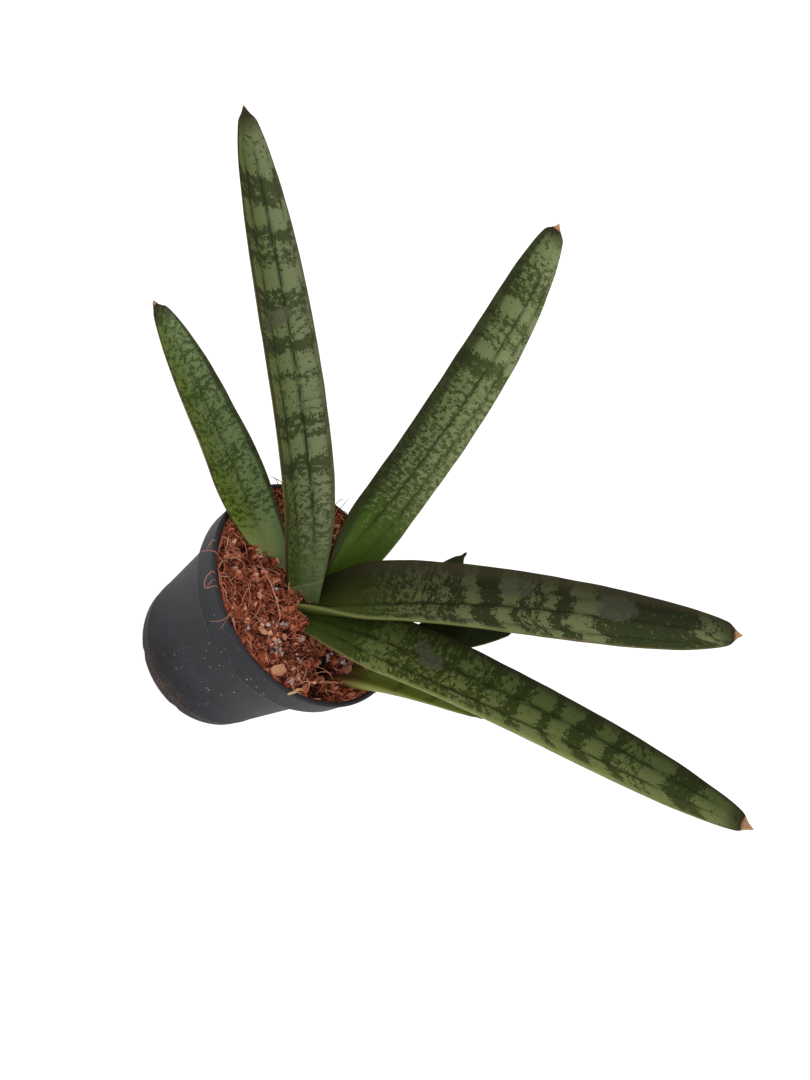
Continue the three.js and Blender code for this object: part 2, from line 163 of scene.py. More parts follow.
class Finish:
    # a material with one Principled shader, and the places that its patterns read
    def __init__(self, name, specular=0.5):
        self.material = bpy.data.materials.new(name)
        self.material.use_nodes = True
        self.tree = self.material.node_tree
        self.tree.nodes.clear()
        self.start = Wire(self.tree)
        self.shader = self.tree.nodes.new("ShaderNodeBsdfPrincipled")
        output = self.tree.nodes.new("ShaderNodeOutputMaterial")
        self.tree.links.new(self.shader.outputs[0], output.inputs[0])
        self.set("Specular IOR Level", specular)

    def set(self, name, value):
        if isinstance(value, Wire):
            self.tree.links.new(value.socket, self.shader.inputs[name])
        else:
            self.shader.inputs[name].default_value = value

    def split(self, wire):
        return [wire.add("SeparateXYZ", None, {0: wire}, axis) for axis in range(3)]

    def join(self, x, y, z=0.0):
        return self.start.add("CombineXYZ", None, {0: x, 1: y, 2: z})

    def objectPlace(self):
        # Object coordinates, in millimetres
        metres = self.start.add("TexCoord", out=3)
        return metres.add("VectorMath", {"operation": "SCALE"}, {0: metres, "Scale": 1 / metresPerMm})

    def tint(self):
        # the number that a piece carries at each vertex
        return self.start.add("Attribute", {"attribute_name": "tint"}, out=2)

    def noise(self, vector, scale=1.0, detail=2.0, roughness=0.5):
        return self.start.add("TexNoise", {"noise_dimensions": "3D"}, {
            "Vector": vector, "Scale": scale, "Detail": detail, "Roughness": roughness})

    def cells(self, vector, scale, feature="F1"):
        return self.start.add("TexVoronoi", {"feature": feature}, {"Vector": vector, "Scale": scale})

    def mix(self, share, first, second):
        # plain colours are written as picture values
        first, second = [shade if isinstance(shade, Wire) else colour(*shade) for shade in (first, second)]
        settings = {"data_type": "RGBA", "clamp_factor": True}
        return self.start.add("Mix", settings, {0: share, 6: first, 7: second}, 2)

    def bump(self, height, distance):
        self.set("Normal", self.start.add("Bump", None, {"Height": height, "Distance": distance * metresPerMm,
                                                         "Strength": 1.0}))


# Pot

potSizes = {
    "height": 85.0, "rimRadius": 52.5, "footRadius": 38.1, "footRound": 6.0, "bodyTopRadius": 45.4,
    "collarHeight": 16.0, "collarStep": 3.2, "collarFlare": 2.6, "rimHeight": 2.2, "rimRound": 0.5,
    "rimBead": 0.7, "wall": 1.2, "floor": 1.6, "around": 160, "drainHoles": 8, "drainRadius": 3.2,
    # under the collar: how far out, and at which share of the step; then shares of the step and of the flare
    "underCollar": (1, 0.35), "collarBend": 0.2, "collarRise": (0.65, 0.5),
    # the faint ring above the foot: heights, and how far each stands out
    "ring": [(9.4, 0), (10.0, 0.22), (10.8, 0.22), (11.4, 0)],
    # thin moulded plastic is never quite round: waves in a turn, phase and share of the radius
    "outOfRound": [(2, 0.6, 0.0022), (5, 2, 0.0012)], "outOfRoundFrom": 12,
}
potLooks = {
    # underCollar is painted shade under the collar, and rim is painted light on the rim's top
    "plastic": ((30, 30, 34), (42, 43, 48)), "streak": (52, 52, 57), "underCollar": (16, 16, 19),
    "rim": (62, 62, 66), "dirt": (98, 80, 68), "curl": (128, 98, 80), "dust": (150, 150, 152),
    # heights between which the painted shade on the step under the collar and the painted light on the rim
    # come and go
    "stepFrom": (64.8, 66.4), "stepTo": (71.5, 69), "rimFrom": (82.6, 84.4),
    # where the dirt and the dust lie round the pot in degrees, and how they fade in millimetres beside it
    "dirtAngle": -92, "dirtFade": (36, 14), "dustAngle": -76, "dustFade": (34, 8),
    "dirtHeight": 8, "dirtClimb": 9, "dirtEdge": (-3, 9), "dustFrom": (12, 30), "skinRadius": 45,
}


def potLine(inset):
    # the outer line from the flat underside up to the rim, or the inner line when inset is a wall
    p = potSizes
    foot, footRound, rim, step = p["footRadius"], p["footRound"], p["rimRadius"], p["collarStep"]
    stepTop = p["height"] - p["collarHeight"]
    stepFoot = stepTop - step

    def bodyRadius(height):
        return lerp(foot, p["bodyTopRadius"], (height - footRound) / (stepFoot - footRound))

    line = []
    for degrees in range(-90, 1, 15):
        angle = math.radians(degrees)
        line.append((foot - footRound + (footRound - inset) * math.cos(angle),
                     footRound + (footRound - inset) * math.sin(angle)))
    line += [(bodyRadius(height) + proud - inset, height) for height, proud in p["ring"]]
    out, outShare = p["underCollar"]
    flareShare, riseShare = p["collarRise"]
    return [*line, (bodyRadius(stepFoot) - inset, stepFoot),
            (bodyRadius(stepFoot) + out - inset, stepFoot + outShare * step),
            (rim - p["collarFlare"] - inset, stepTop - p["collarBend"] * step),
            (rim - flareShare * p["collarFlare"] - inset, stepTop + riseShare * step),
            (rim - p["rimBead"] - inset, p["height"] - p["rimHeight"])]


def spinLine(line, steps):
    # a closed body of revolution from a line that starts and ends on the axis
    bm = bmesh.new()
    dots = [bm.verts.new((radius, 0, height)) for radius, height in line]
    edges = [bm.edges.new(pair) for pair in zip(dots, dots[1:])]
    bmesh.ops.spin(bm, geom=dots + edges, cent=(0, 0, 0), axis=(0, 0, 1), dvec=(0, 0, 0),
                   angle=2 * math.pi, steps=steps, use_merge=True, use_duplicate=False)
    bmesh.ops.remove_doubles(bm, verts=bm.verts, dist=0.0005)
    bmesh.ops.recalc_face_normals(bm, faces=bm.faces)
    return bm


def makePot():
    p = potSizes
    rim, top = p["rimRadius"], p["height"]
    inner = potLine(p["wall"])[::-1]
    line = [(0, 0), *potLine(0), (rim, top - p["rimHeight"] + p["rimBead"]),
            (rim, top - p["rimRound"]), (rim - p["rimRound"], top), (rim - p["wall"] - p["rimBead"], top),
            *inner[:-1], (p["footRadius"] - p["footRound"], p["floor"]), (0, p["floor"])]
    bm = spinLine(line, p["around"])
    for vert in bm.verts:
        rise = smoothStep(p["outOfRoundFrom"], top, vert.co.z)
        around = math.atan2(vert.co.y, vert.co.x)
        swing = sum(size * math.sin(waves * around + phase) for waves, phase, size in p["outOfRound"])
        push = 1 + rise * swing
        vert.co.x *= push
        vert.co.y *= push
    return finishPiece(bm, "nursery_pot")


def makeDrills():
    p = potSizes
    bm = bmesh.new()
    for hole in range(p["drainHoles"]):
        around = 2 * math.pi * (hole + 0.5) / p["drainHoles"]
        seat = (Matrix.Rotation(around, 4, "Z")
                @ Matrix.Translation((p["footRadius"] - 0.3 * p["footRound"], 0, 0.3 * p["footRound"]))
                @ Matrix.Rotation(math.radians(-45), 4, "Y"))
        bmesh.ops.create_cone(bm, cap_ends=True, segments=28, radius1=p["drainRadius"],
                              radius2=p["drainRadius"], depth=3 * p["footRound"], matrix=seat)
    return finishPiece(bm, "drill")


def potPlastic():
    looks = potLooks
    finish = Finish("nursery plastic", 0.1)
    spot = finish.objectPlace()
    x, y, z = finish.split(spot)
    around = y.math("ARCTAN2", x) * looks["skinRadius"]

    def beside(angle, fade):
        return abs(around - math.radians(angle) * looks["skinRadius"]).smooth(*fade)

    streak = finish.noise(finish.join(around, z * 0.05), 1.1, 3, 0.6)
    cloud = finish.noise(spot, 0.045, 4, 0.6)
    scuff = finish.noise(finish.join(around * 0.5, z * 0.9, 3.0), 0.35, 4, 0.7)
    fine = finish.noise(spot, 0.9, 4, 0.7)
    base = finish.mix(cloud.smooth(0.35, 0.7), *looks["plastic"])
    base = finish.mix(streak.smooth(0.52, 0.8) * 0.3, base, looks["streak"])
    # painted shade darkens the step under the collar, and painted light lightens the rim's top
    step = z.smooth(*looks["stepFrom"]) * z.smooth(*looks["stepTo"])
    base = finish.mix(step * 0.55, base, looks["underCollar"])
    base = finish.mix(z.smooth(*looks["rimFrom"]) * 0.5, base, looks["rim"])
    # dried dirt near the foot, thinner higher up, with curls of fibre in it
    climb = looks["dirtHeight"] - z + beside(looks["dirtAngle"], looks["dirtFade"]) * looks["dirtClimb"]
    dirtLine = (climb + (cloud - 0.5) * 22).smooth(*looks["dirtEdge"])
    dirt = dirtLine * fine.smooth(0.44, 0.62)
    base = finish.mix(dirt * 0.7, base, looks["dirt"])
    loops = finish.cells(finish.join(around * 0.3, z * 0.3, 7.0), 0.8, "DISTANCE_TO_EDGE")
    curl = loops.smooth(0.035, 0.012) * dirtLine * finish.noise(spot, 0.12, 2).smooth(0.5, 0.58)
    base = finish.mix(curl * 0.8, base, looks["curl"])
    # pale specks of dust, large and small, most of them at the front
    field = beside(looks["dustAngle"], looks["dustFade"]) * z.smooth(*looks["dustFrom"]) + dirtLine * 0.5
    large = finish.cells(spot, 0.33).smooth(0.17, 0.09) * 0.9
    small = finish.cells(spot, 0.7).smooth(0.18, 0.08) * 0.5
    patches = finish.noise(spot, 0.16, 2).smooth(0.5, 0.6)
    base = finish.mix(large.atLeast(small) * patches * field.atMost(1), base, looks["dust"])
    finish.set("Base Color", base)
    finish.set("Roughness", (0.42 + 0.16 * cloud + 0.12 * streak + 0.3 * dirt).atMost(0.95))
    finish.bump(streak * 0.5 + scuff * 0.5 + dirt * 0.8 + fine * 0.15, 0.16)
    return finish.material


print("pot")
nurseryPot = makePot()
cutPiece(nurseryPot, makeDrills())
place(nurseryPot, "pot", "pot_plastic", potPlastic())


# Leaves

leafShape = {
    "leanMiddle": 0.3, "thickness": 5.0, "thinTip": 0.34, "thinStart": -10.0, "thinReach": 70.0,
    "thickBase": 1.25, "taperReach": 118.0, "taperShare": 0.62, "taperRoundness": 2.7, "pointLength": 5.0,
    "pointBluntness": 0.6, "pointWidth": 1.5, "neckStart": -4.0, "neckReach": 58.0, "flatTipStart": 4.0,
    "flatTipReach": 60.0, "flatTip": 0.12, "foldOpen": 2.0, "foldClasped": 1.35, "marginBluntness": 0.85,
    "sectionDrop": 0.4, "root": 19.0, "rootNarrowing": 0.35, "rootFlattening": 0.7,
    "rootStraightening": 0.65, "rootPull": 0.5, "sides": 56, "rowSpacing": 1.7, "rowCrowding": 1.15,
    "grooveDepth": 0.22, "grooveWidth": 0.9, "fluteDepth": 0.1, "marginWaver": 0.28, "spine": 0.4,
}

# Angles are in degrees, distances in millimetres from the soil, and colours in picture values. Across a leaf
# the left margin is -1 and the right one is 1, seen from the upper side with the tip away.
# foot and soil: where the middle line leaves the soil, and its height over the rim. lean: at the soil, below
# the middle and at the tip. neck, slender: how it narrows at foot and tip. channel, clasp: how hollow it is.
# lines: the dark long lines, each by its place at the soil, half way and at the tip, how far the bands jump
# there, and how dark it is. bands: how dark the leaf is at each distance.
# blotch, mottle, jag: strength of the streaks, of the small spots and of the bands' ragged edges.
# slant: how steeply the bands swing towards the tip near the left and the right margin.
# bright: from where to where the left margin is bright, and how much. sheath: its end, and its line's colour.
# pale and dark: the bands' colours at the left and at the right, which differ partly by the leaf's own colour
# and partly by painted sheen; base and baseDark: those below baseReach, lighter partly as painted light
# against the shade there.
# margins: where each darker zone starts, its colour and strength. tip: length of the brown and the tan part.
# scuffs: place across in millimetres, distance, and how far each reaches.
commonLeaf = {
    "soil": -6, "turn": 0, "twist": 0, "twistReach": 60, "crown": (3, 0),
    "lines": [], "scuffs": [],
    "blotch": 2.0, "mottle": 1.1, "jag": 5.0, "slant": (0, 0), "bright": (0, 60, 0), "baseReach": 20,
}
offsetLeaf = {
    "soil": -3, "claspReach": 40, "crown": (31, 16),
    "blotch": 0.35, "mottle": 0.35, "jag": 2.5, "bright": (0, 30, 0.2),
    "base": ((72, 88, 40), (66, 80, 36)), "baseDark": ((50, 64, 24), (44, 56, 20)), "tip": (3.0, -2.0),
}
leaves = {
    "leaf_back_upright": {
        "foot": (-1.5, 17.7), "heading": 138, "turn": 3.5, "lean": (25, 30.6, 45.7), "length": 186,
        "width": 31.4, "neck": 1, "channel": 0.18, "clasp": 0.7, "claspReach": 50, "slender": 0.45,
        "twist": 25, "twistReach": 40, "seed": 3,
        "lines": [(0.16, -0.1, -0.38, 1.5, 0.9), (-0.45, -0.6, -0.86, -2.0, 0.6)],
        "bands": {30: .62, 60: .55, 80: .5, 108: .45, 114: .5, 117: .78, 121.5: .75, 123.5: .12, 127: .06,
                  128.5: .55, 132: .45, 136: .4, 139: .62, 142: .5, 144: .12, 148: .15, 150: .62, 157: .6,
                  165: .5, 170: .35, 173: .2, 176: .5, 178.5: .15, 181: .7},
        "blotch": 1.8, "mottle": 1.0, "bright": (0, 60, 0.2),
        "pale": ((126, 136, 94), (94, 107, 66)), "dark": ((76, 87, 46), (38, 50, 18)),
        "base": ((92, 116, 46), (110, 138, 50)), "baseDark": ((70, 92, 28), (68, 93, 22)), "baseReach": 62,
        "rightMargin": (0.5, (38, 42, 18), 0.82), "leftMargin": (-0.9, (96, 92, 60), 0.5), "tip": (4.5, 2.2),
    },
    "leaf_left_long": {
        "foot": (1.8, -5.7), "heading": 179, "turn": 7.1, "lean": (45.6, 55.5, 58.7), "length": 201,
        "width": 33.3, "neck": 0.45, "channel": 0.32, "clasp": 0.64, "claspReach": 150, "slender": 0.51,
        "twist": -25, "twistReach": 55, "seed": 11,
        "lines": [(0.1, 0.46, 0.6, 2.5, 1.0), (-0.45, -0.28, -0.12, -2.0, 1.0),
                  (-0.92, -0.86, -0.74, 3.0, 0.5)],
        "bands": {40: .5, 61: .4, 64: .78, 68: .72, 70: .28, 77: .22, 79: .82, 81.5: .4, 84.5: .85, 88: .35,
                  100: .3, 103: .65, 105.5: .25, 111: .22, 113.5: .8, 117: .75, 119: .35, 127: .4, 130: .65,
                  136: .6, 138: .15, 144: .15, 148: .68, 153: .4, 156.5: .72, 159: .75, 160.5: .14, 167: .14,
                  168.5: .75, 178: .68, 180: .2, 192: .35},
        "slant": (0, 9), "sheath": (10, (112, 128, 84)),
        "pale": ((116, 125, 90), (88, 99, 50)), "dark": ((64, 72, 42), (38, 46, 14)),
        "base": ((104, 118, 80), (70, 82, 40)), "baseDark": ((69, 82, 46), (43, 53, 18)), "baseReach": 50,
        "rightMargin": (0.93, (56, 52, 28), 0.7), "leftMargin": (-0.84, (82, 76, 54), 0.7), "tip": (5.0, 0.2),
        "scuffs": [(2.5, 125, 9.0, 3.4), (10.5, 124, 5.5, 3.6), (-2.5, 126.5, 3.6, 2.2)],
    },
    "leaf_right_back": {
        "foot": (4.1, -3.1), "heading": 30, "turn": -2.2, "lean": (17.6, 34, 38.2), "length": 184,
        "width": 34.1, "neck": 0.97, "channel": 0.2, "clasp": 0.72, "claspReach": 150, "slender": 0.47,
        "twist": -26, "twistReach": 40, "seed": 19,
        "lines": [(-0.78, -0.72, -0.66, 2.0, 0.55), (-0.2, -0.03, -0.02, -2.5, 0.9),
                  (0.38, 0.46, 0.5, 2.0, 0.4)],
        "bands": {30: .58, 48: .52, 54: .42, 59: .62, 63: .38, 68: .7, 72: .6, 75: .25, 78: .2, 80: .86,
                  87.5: .85, 89.5: .3, 95: .22, 96.5: .8, 98: .75, 99.5: .4, 102: .6, 106: .5, 108: .25,
                  110.5: .22, 112: .85, 116: .78, 118: .55, 119.5: .2, 126: .2, 129: .68, 140: .8, 160: .82,
                  168: .7, 170: .22, 175: .5, 178: .2},
        "blotch": 1.8, "slant": (9, 0), "bright": (0, 90, 0.42),
        "pale": ((116, 125, 82), (67, 74, 46)), "dark": ((52, 60, 30), (30, 34, 14)),
        "base": ((108, 124, 60), (58, 67, 34)), "baseDark": ((82, 94, 40), (42, 49, 19)), "baseReach": 58,
        "rightMargin": (0.55, (58, 53, 36), 0.72), "leftMargin": (-0.93, (96, 88, 58), 0.5),
        "tip": (5.0, 2.4), "scuffs": [(9.0, 94, 4.5, 8.0), (5.0, 135, 7.0, 9.0)],
    },
    "leaf_left_short": {
        "foot": (-13.8, -8.4), "soil": -1.6, "heading": 187.7, "turn": 18.3, "lean": (80.9, 72.5, 61.6),
        "length": 126, "width": 28.9, "neck": 0.46, "channel": 0.42, "clasp": 0.22, "claspReach": 76,
        "slender": 0.6, "twist": -33, "twistReach": 76, "seed": 29,
        "lines": [(0.42, -0.14, -0.15, 1.5, 0.75)],
        "bands": {8: .3, 23: .32, 33: .5, 48: .4, 56: .58, 63: .35, 73: .55, 80: .4, 86: .66, 92: .42,
                  103: .48, 113: .42, 119: .65},
        "blotch": 2.2, "mottle": 1.3, "jag": 4.0, "slant": (0, 7),
        "pale": ((125, 143, 100), (103, 120, 50)), "dark": ((74, 89, 52), (58, 73, 14)),
        "base": ((130, 148, 96), (130, 142, 86)), "baseDark": ((78, 92, 52), (84, 98, 46)), "baseReach": 34,
        "rightMargin": (0.985, (60, 60, 24), 0.5), "leftMargin": (-0.76, (52, 54, 30), 0.75),
        "tip": (3.2, 0.8), "scuffs": [(-5.2, 117.5, 3.4, 1.8), (4.4, 11.5, 1.2, 1.8)],
    },
    "leaf_right_front": {
        "foot": (2, -14.4), "heading": 4, "turn": 0.2, "lean": (38, 46.2, 48.1), "length": 203, "width": 32.3,
        "neck": 0.4, "channel": 0.42, "clasp": 0.15, "claspReach": 91, "slender": 0.5, "twist": 17,
        "twistReach": 141, "seed": 41,
        "lines": [(-0.62, -0.38, -0.2, 2.5, 1.0), (-0.15, 0.33, 0.36, -2.0, 1.0)],
        "bands": {40: .62, 46: .42, 53: .4, 57: .6, 76: .6, 80: .7, 82: .42, 90: .5, 96: .7, 101: .35,
                  104: .35, 107: .75, 111: .72, 113: .22, 120.5: .2, 122.5: .82, 124.5: .78, 126: .2, 132: .2,
                  134: .82, 140: .8, 141.5: .2, 147: .22, 149: .8, 152: .7, 154: .4, 162: .5, 163.5: .2,
                  171: .18, 172.5: .8, 181.5: .78, 184: .3},
        "slant": (8, 0), "bright": (62, 150, 0.5),
        "pale": ((120, 130, 76), (72, 82, 44)), "dark": ((60, 71, 26), (38, 46, 16)),
        "base": ((84, 98, 46), (60, 71, 32)), "baseDark": ((58, 70, 27), (40, 50, 17)), "baseReach": 62,
        "rightMargin": (0.68, (38, 38, 20), 0.85), "leftMargin": (-0.96, (112, 108, 66), 0.5),
        "tip": (6.0, 3.6), "scuffs": [(3.2, 69, 4.6, 6.0), (7.0, 63, 3.4, 3.4)],
    },
    "leaf_right_lowest": {
        "foot": (38.3, -7.8), "soil": -5, "heading": 5, "lean": (25.6, 30, 52), "length": 70, "width": 15.4,
        "neck": 0.84, "channel": 0.32, "clasp": 0.49, "claspReach": 63, "slender": 0.78, "crown": (36, -7),
        "seed": 53,
        "bands": {14: .45, 20: .35, 29: .3, 32: .62, 35: .3, 45: .35, 48: .62, 51: .3, 60: .42},
        "blotch": 0.5, "mottle": 0.5, "jag": 2.5, "bright": (20, 60, 0.3),
        # these colours are lightened as painted light against the shadow that leaf_right_front casts on this
        # leaf
        "pale": ((140, 150, 58), (136, 150, 74)), "dark": ((104, 116, 26), (96, 110, 34)),
        "base": ((120, 92, 52), (110, 92, 48)), "baseDark": ((92, 60, 34), (88, 62, 30)),
        "rightMargin": (0.93, (84, 84, 40), 0.5), "leftMargin": (-0.9, (118, 112, 62), 0.6),
        "tip": (3.0, 1.0),
    },
    "offset_leaf_left": {
        **offsetLeaf,
        "foot": (32.5, 18.5), "heading": 116, "lean": (16, 27, 38), "length": 61, "width": 17, "neck": 0.5,
        "channel": 0.27, "clasp": 0.7, "slender": 0.95, "seed": 61,
        "bands": {0: .5, 20: .5, 26: .6, 33: .45, 40: .6, 46: .45, 61: .6},
        "pale": ((62, 74, 34), (52, 62, 28)), "dark": ((40, 52, 20), (32, 40, 14)),
        "rightMargin": (0.93, (60, 56, 32), 0.5), "leftMargin": (-0.93, (70, 66, 38), 0.5),
    },
    "offset_leaf_right": {
        **offsetLeaf,
        "foot": (38, 16), "heading": 30, "lean": (8, 10, 28), "length": 76, "width": 27, "neck": 0.25,
        "channel": 0.25, "clasp": 0.3, "slender": 0.45, "seed": 71,
        "bands": {0: .5, 22: .5, 28: .62, 35: .45, 45: .6, 52: .45, 64: .6, 76: .6},
        "pale": ((56, 68, 30), (46, 56, 24)), "dark": ((38, 48, 18), (30, 38, 12)),
        "rightMargin": (0.9, (52, 44, 26), 0.6), "leftMargin": (-0.93, (90, 84, 50), 0.6),
    },
}


def depthAt(distance):
    return max(-distance / leafShape["root"], 0)


def throughThree(first, middle, last, at, share):
    # on the smooth curve through three values, of which the middle one stands at a given share
    return (first * (share - at) * (share - 1) / at + middle * share * (1 - share) / (at * (1 - at))
            + last * share * (share - at) / (1 - at))


def leanAt(leaf, distance):
    # on the smooth curve through the three leans, and more upright below the soil
    lean = throughThree(*leaf["lean"], leafShape["leanMiddle"], max(distance / leaf["length"], 0))
    return math.radians(lean * (1 - leafShape["rootStraightening"] * depthAt(distance)))


def headingAt(leaf, distance):
    return math.radians(leaf["heading"] + leaf["turn"] * max(distance / leaf["length"], 0))


def alongAt(leaf, distance):
    lean, heading = leanAt(leaf, distance), headingAt(leaf, distance)
    return Vector((math.sin(lean) * math.cos(heading), math.sin(lean) * math.sin(heading), math.cos(lean)))


def pointAt(leaf, distance):
    steps = 40
    point = Vector((*leaf["foot"], potSizes["height"] + leaf["soil"]))
    for step in range(steps):
        point += alongAt(leaf, distance * (step + 0.5) / steps) * (distance / steps)
    for axis in (0, 1):
        point[axis] = lerp(point[axis], leaf["crown"][axis], leafShape["rootPull"] * depthAt(distance))
    return point


def halfWidth(leaf, distance):
    s = leafShape
    fromTip = max(leaf["length"] - distance, 0)
    share = min(fromTip / min(s["taperReach"], leaf["length"] * s["taperShare"]), 1)
    taper = (1 - (1 - share) ** s["taperRoundness"]) ** leaf["slender"]
    tip = min((fromTip + s["pointBluntness"]) / s["pointLength"], 1)
    neck = lerp(leaf["neck"], 1, smoothStep(s["neckStart"], s["neckReach"], distance))
    root = 1 - s["rootNarrowing"] * depthAt(distance)
    return max(leaf["width"] / 2 * taper * tip * neck * root, s["pointWidth"] / 2)


def leafRow(leaf, distance):
    # what a whole row of the leaf shares
    s = leafShape
    fromTip = leaf["length"] - distance
    along = alongAt(leaf, distance)
    heading = headingAt(leaf, distance)
    level = Vector((-math.sin(heading), math.cos(heading), 0))
    upper = along.cross(level).normalized()
    twist = math.radians(leaf["twist"] * (1 - smoothStep(0, leaf["twistReach"], distance)))
    thickness = (s["thickness"] * lerp(s["thinTip"], 1, smoothStep(s["thinStart"], s["thinReach"], fromTip))
                 * lerp(s["thickBase"], 1, smoothStep(0, s["thinReach"], distance)))
    clasping = 1 - smoothStep(s["neckStart"], leaf["claspReach"], distance)
    hollow = lerp(leaf["channel"], leaf["clasp"], clasping) * (1 - s["rootFlattening"] * depthAt(distance))
    return {
        "centre": pointAt(leaf, distance), "half": halfWidth(leaf, distance), "thickness": thickness,
        "across": level * math.cos(twist) + upper * math.sin(twist),
        "inner": upper * math.cos(twist) - level * math.sin(twist),
        "channel": hollow - s["flatTip"] * (1 - smoothStep(s["flatTipStart"], s["flatTipReach"], fromTip)),
        "fold": lerp(s["foldOpen"], s["foldClasped"], clasping),
    }


def leafPlace(leaf, row, distance, angle):
    s = leafShape
    side = math.sin(angle)
    across = math.cos(angle)
    spread = row["half"] * across
    middle = row["channel"] * row["half"] * (abs(across) ** row["fold"] - s["sectionDrop"])
    depth = row["thickness"] / 2 * math.copysign(abs(side) ** s["marginBluntness"], side)
    # shallow grooves at the dark lines, soft flutes between them, and a slightly uneven margin
    for atSoil, atMiddle, atTip, jump, strength in leaf["lines"]:
        lineAt = throughThree(atSoil, atMiddle, atTip, 0.5, max(distance / leaf["length"], 0))
        off = (across - lineAt) * row["half"] / s["grooveWidth"]
        depth -= s["grooveDepth"] * strength * math.exp(-off ** 2) * side
    depth += s["fluteDepth"] * noise.noise(Vector((spread * 0.35, distance * 0.02, leaf["seed"]))) * side
    waver = noise.noise(Vector((distance * 0.09, leaf["seed"], across)))
    spread += s["marginWaver"] * waver * abs(across) ** 3
    return row["centre"] + row["across"] * spread + row["inner"] * (middle + depth)


def makeLeaf(name, leaf):
    # a flat grid is rolled into the skin of the leaf: x runs round the section, y from the root to the tip
    s = leafShape
    tolerance = 0.01
    rows = math.ceil((leaf["length"] + s["root"]) / s["rowSpacing"])
    bm = bmesh.new()
    bmesh.ops.create_grid(bm, x_segments=s["sides"], y_segments=rows, size=1)
    markPlace = bm.loops.layers.uv.new("place")
    markSide = bm.loops.layers.uv.new("side")
    kept = {}

    def rowOf(y):
        # rows draw together towards the tip
        key = round(y, 5)
        if key not in kept:
            share = 1 - (1 - (y + 1) / 2) ** s["rowCrowding"]
            distance = lerp(-s["root"], leaf["length"], share)
            kept[key] = (distance, leafRow(leaf, distance))
        return kept[key]

    for face in bm.faces:
        for loop in face.loops:
            distance, row = rowOf(loop.vert.co.y)
            angle = math.pi * (loop.vert.co.x + 1)
            loop[markPlace].uv = (row["half"] * math.cos(angle), distance)
            loop[markSide].uv = (math.cos(angle), math.sin(angle))
    for vert in bm.verts:
        distance, row = rowOf(vert.co.y)
        if distance < tolerance - s["root"]:
            vert.co = row["centre"] - alongAt(leaf, distance)
        elif distance > leaf["length"] - tolerance:
            vert.co = row["centre"] + alongAt(leaf, distance) * s["spine"]
        else:
            vert.co = leafPlace(leaf, row, distance, math.pi * (vert.co.x + 1))
    bmesh.ops.remove_doubles(bm, verts=bm.verts, dist=0.0005)
    bmesh.ops.recalc_face_normals(bm, faces=bm.faces)
    return finishPiece(bm, name)


# looks that all leaves share; a pair of numbers is where a soft edge starts and ends
skinLooks = {
    "lineCore": (0.065, 0.025), "lineHalo": (0.16, 0.04), "haloShare": 0.5, "lineDarkness": 0.35,
    "linesFrom": (8, 45), "linesTo": (6, 26), "slantFrom": 0.35, "raggedness": 1.6, "bandEdge": (0.38, 0.62),
    "baseFull": 0.3, "baseCalm": 0.8, "fleck": (0.08, 0.25), "fleckStrength": 0.4, "fibreStrength": 0.12,
    "back": ((112, 122, 52), (62, 76, 26)), "backFrom": (0.05, -0.3), "backStrength": 0.85,
    "rightEdge": (58, 44, 28), "leftEdge": (116, 104, 70), "brightEdge": (126, 138, 76),
    "brightFade": (15, 25), "rubbed": ((92, 96, 78), (66, 68, 52)), "tipDark": (44, 42, 24),
    "tipBrown": (54, 40, 28), "tipTan": (176, 136, 100), "tipDarkLength": 6, "tipBrownEdge": 1.4,
}


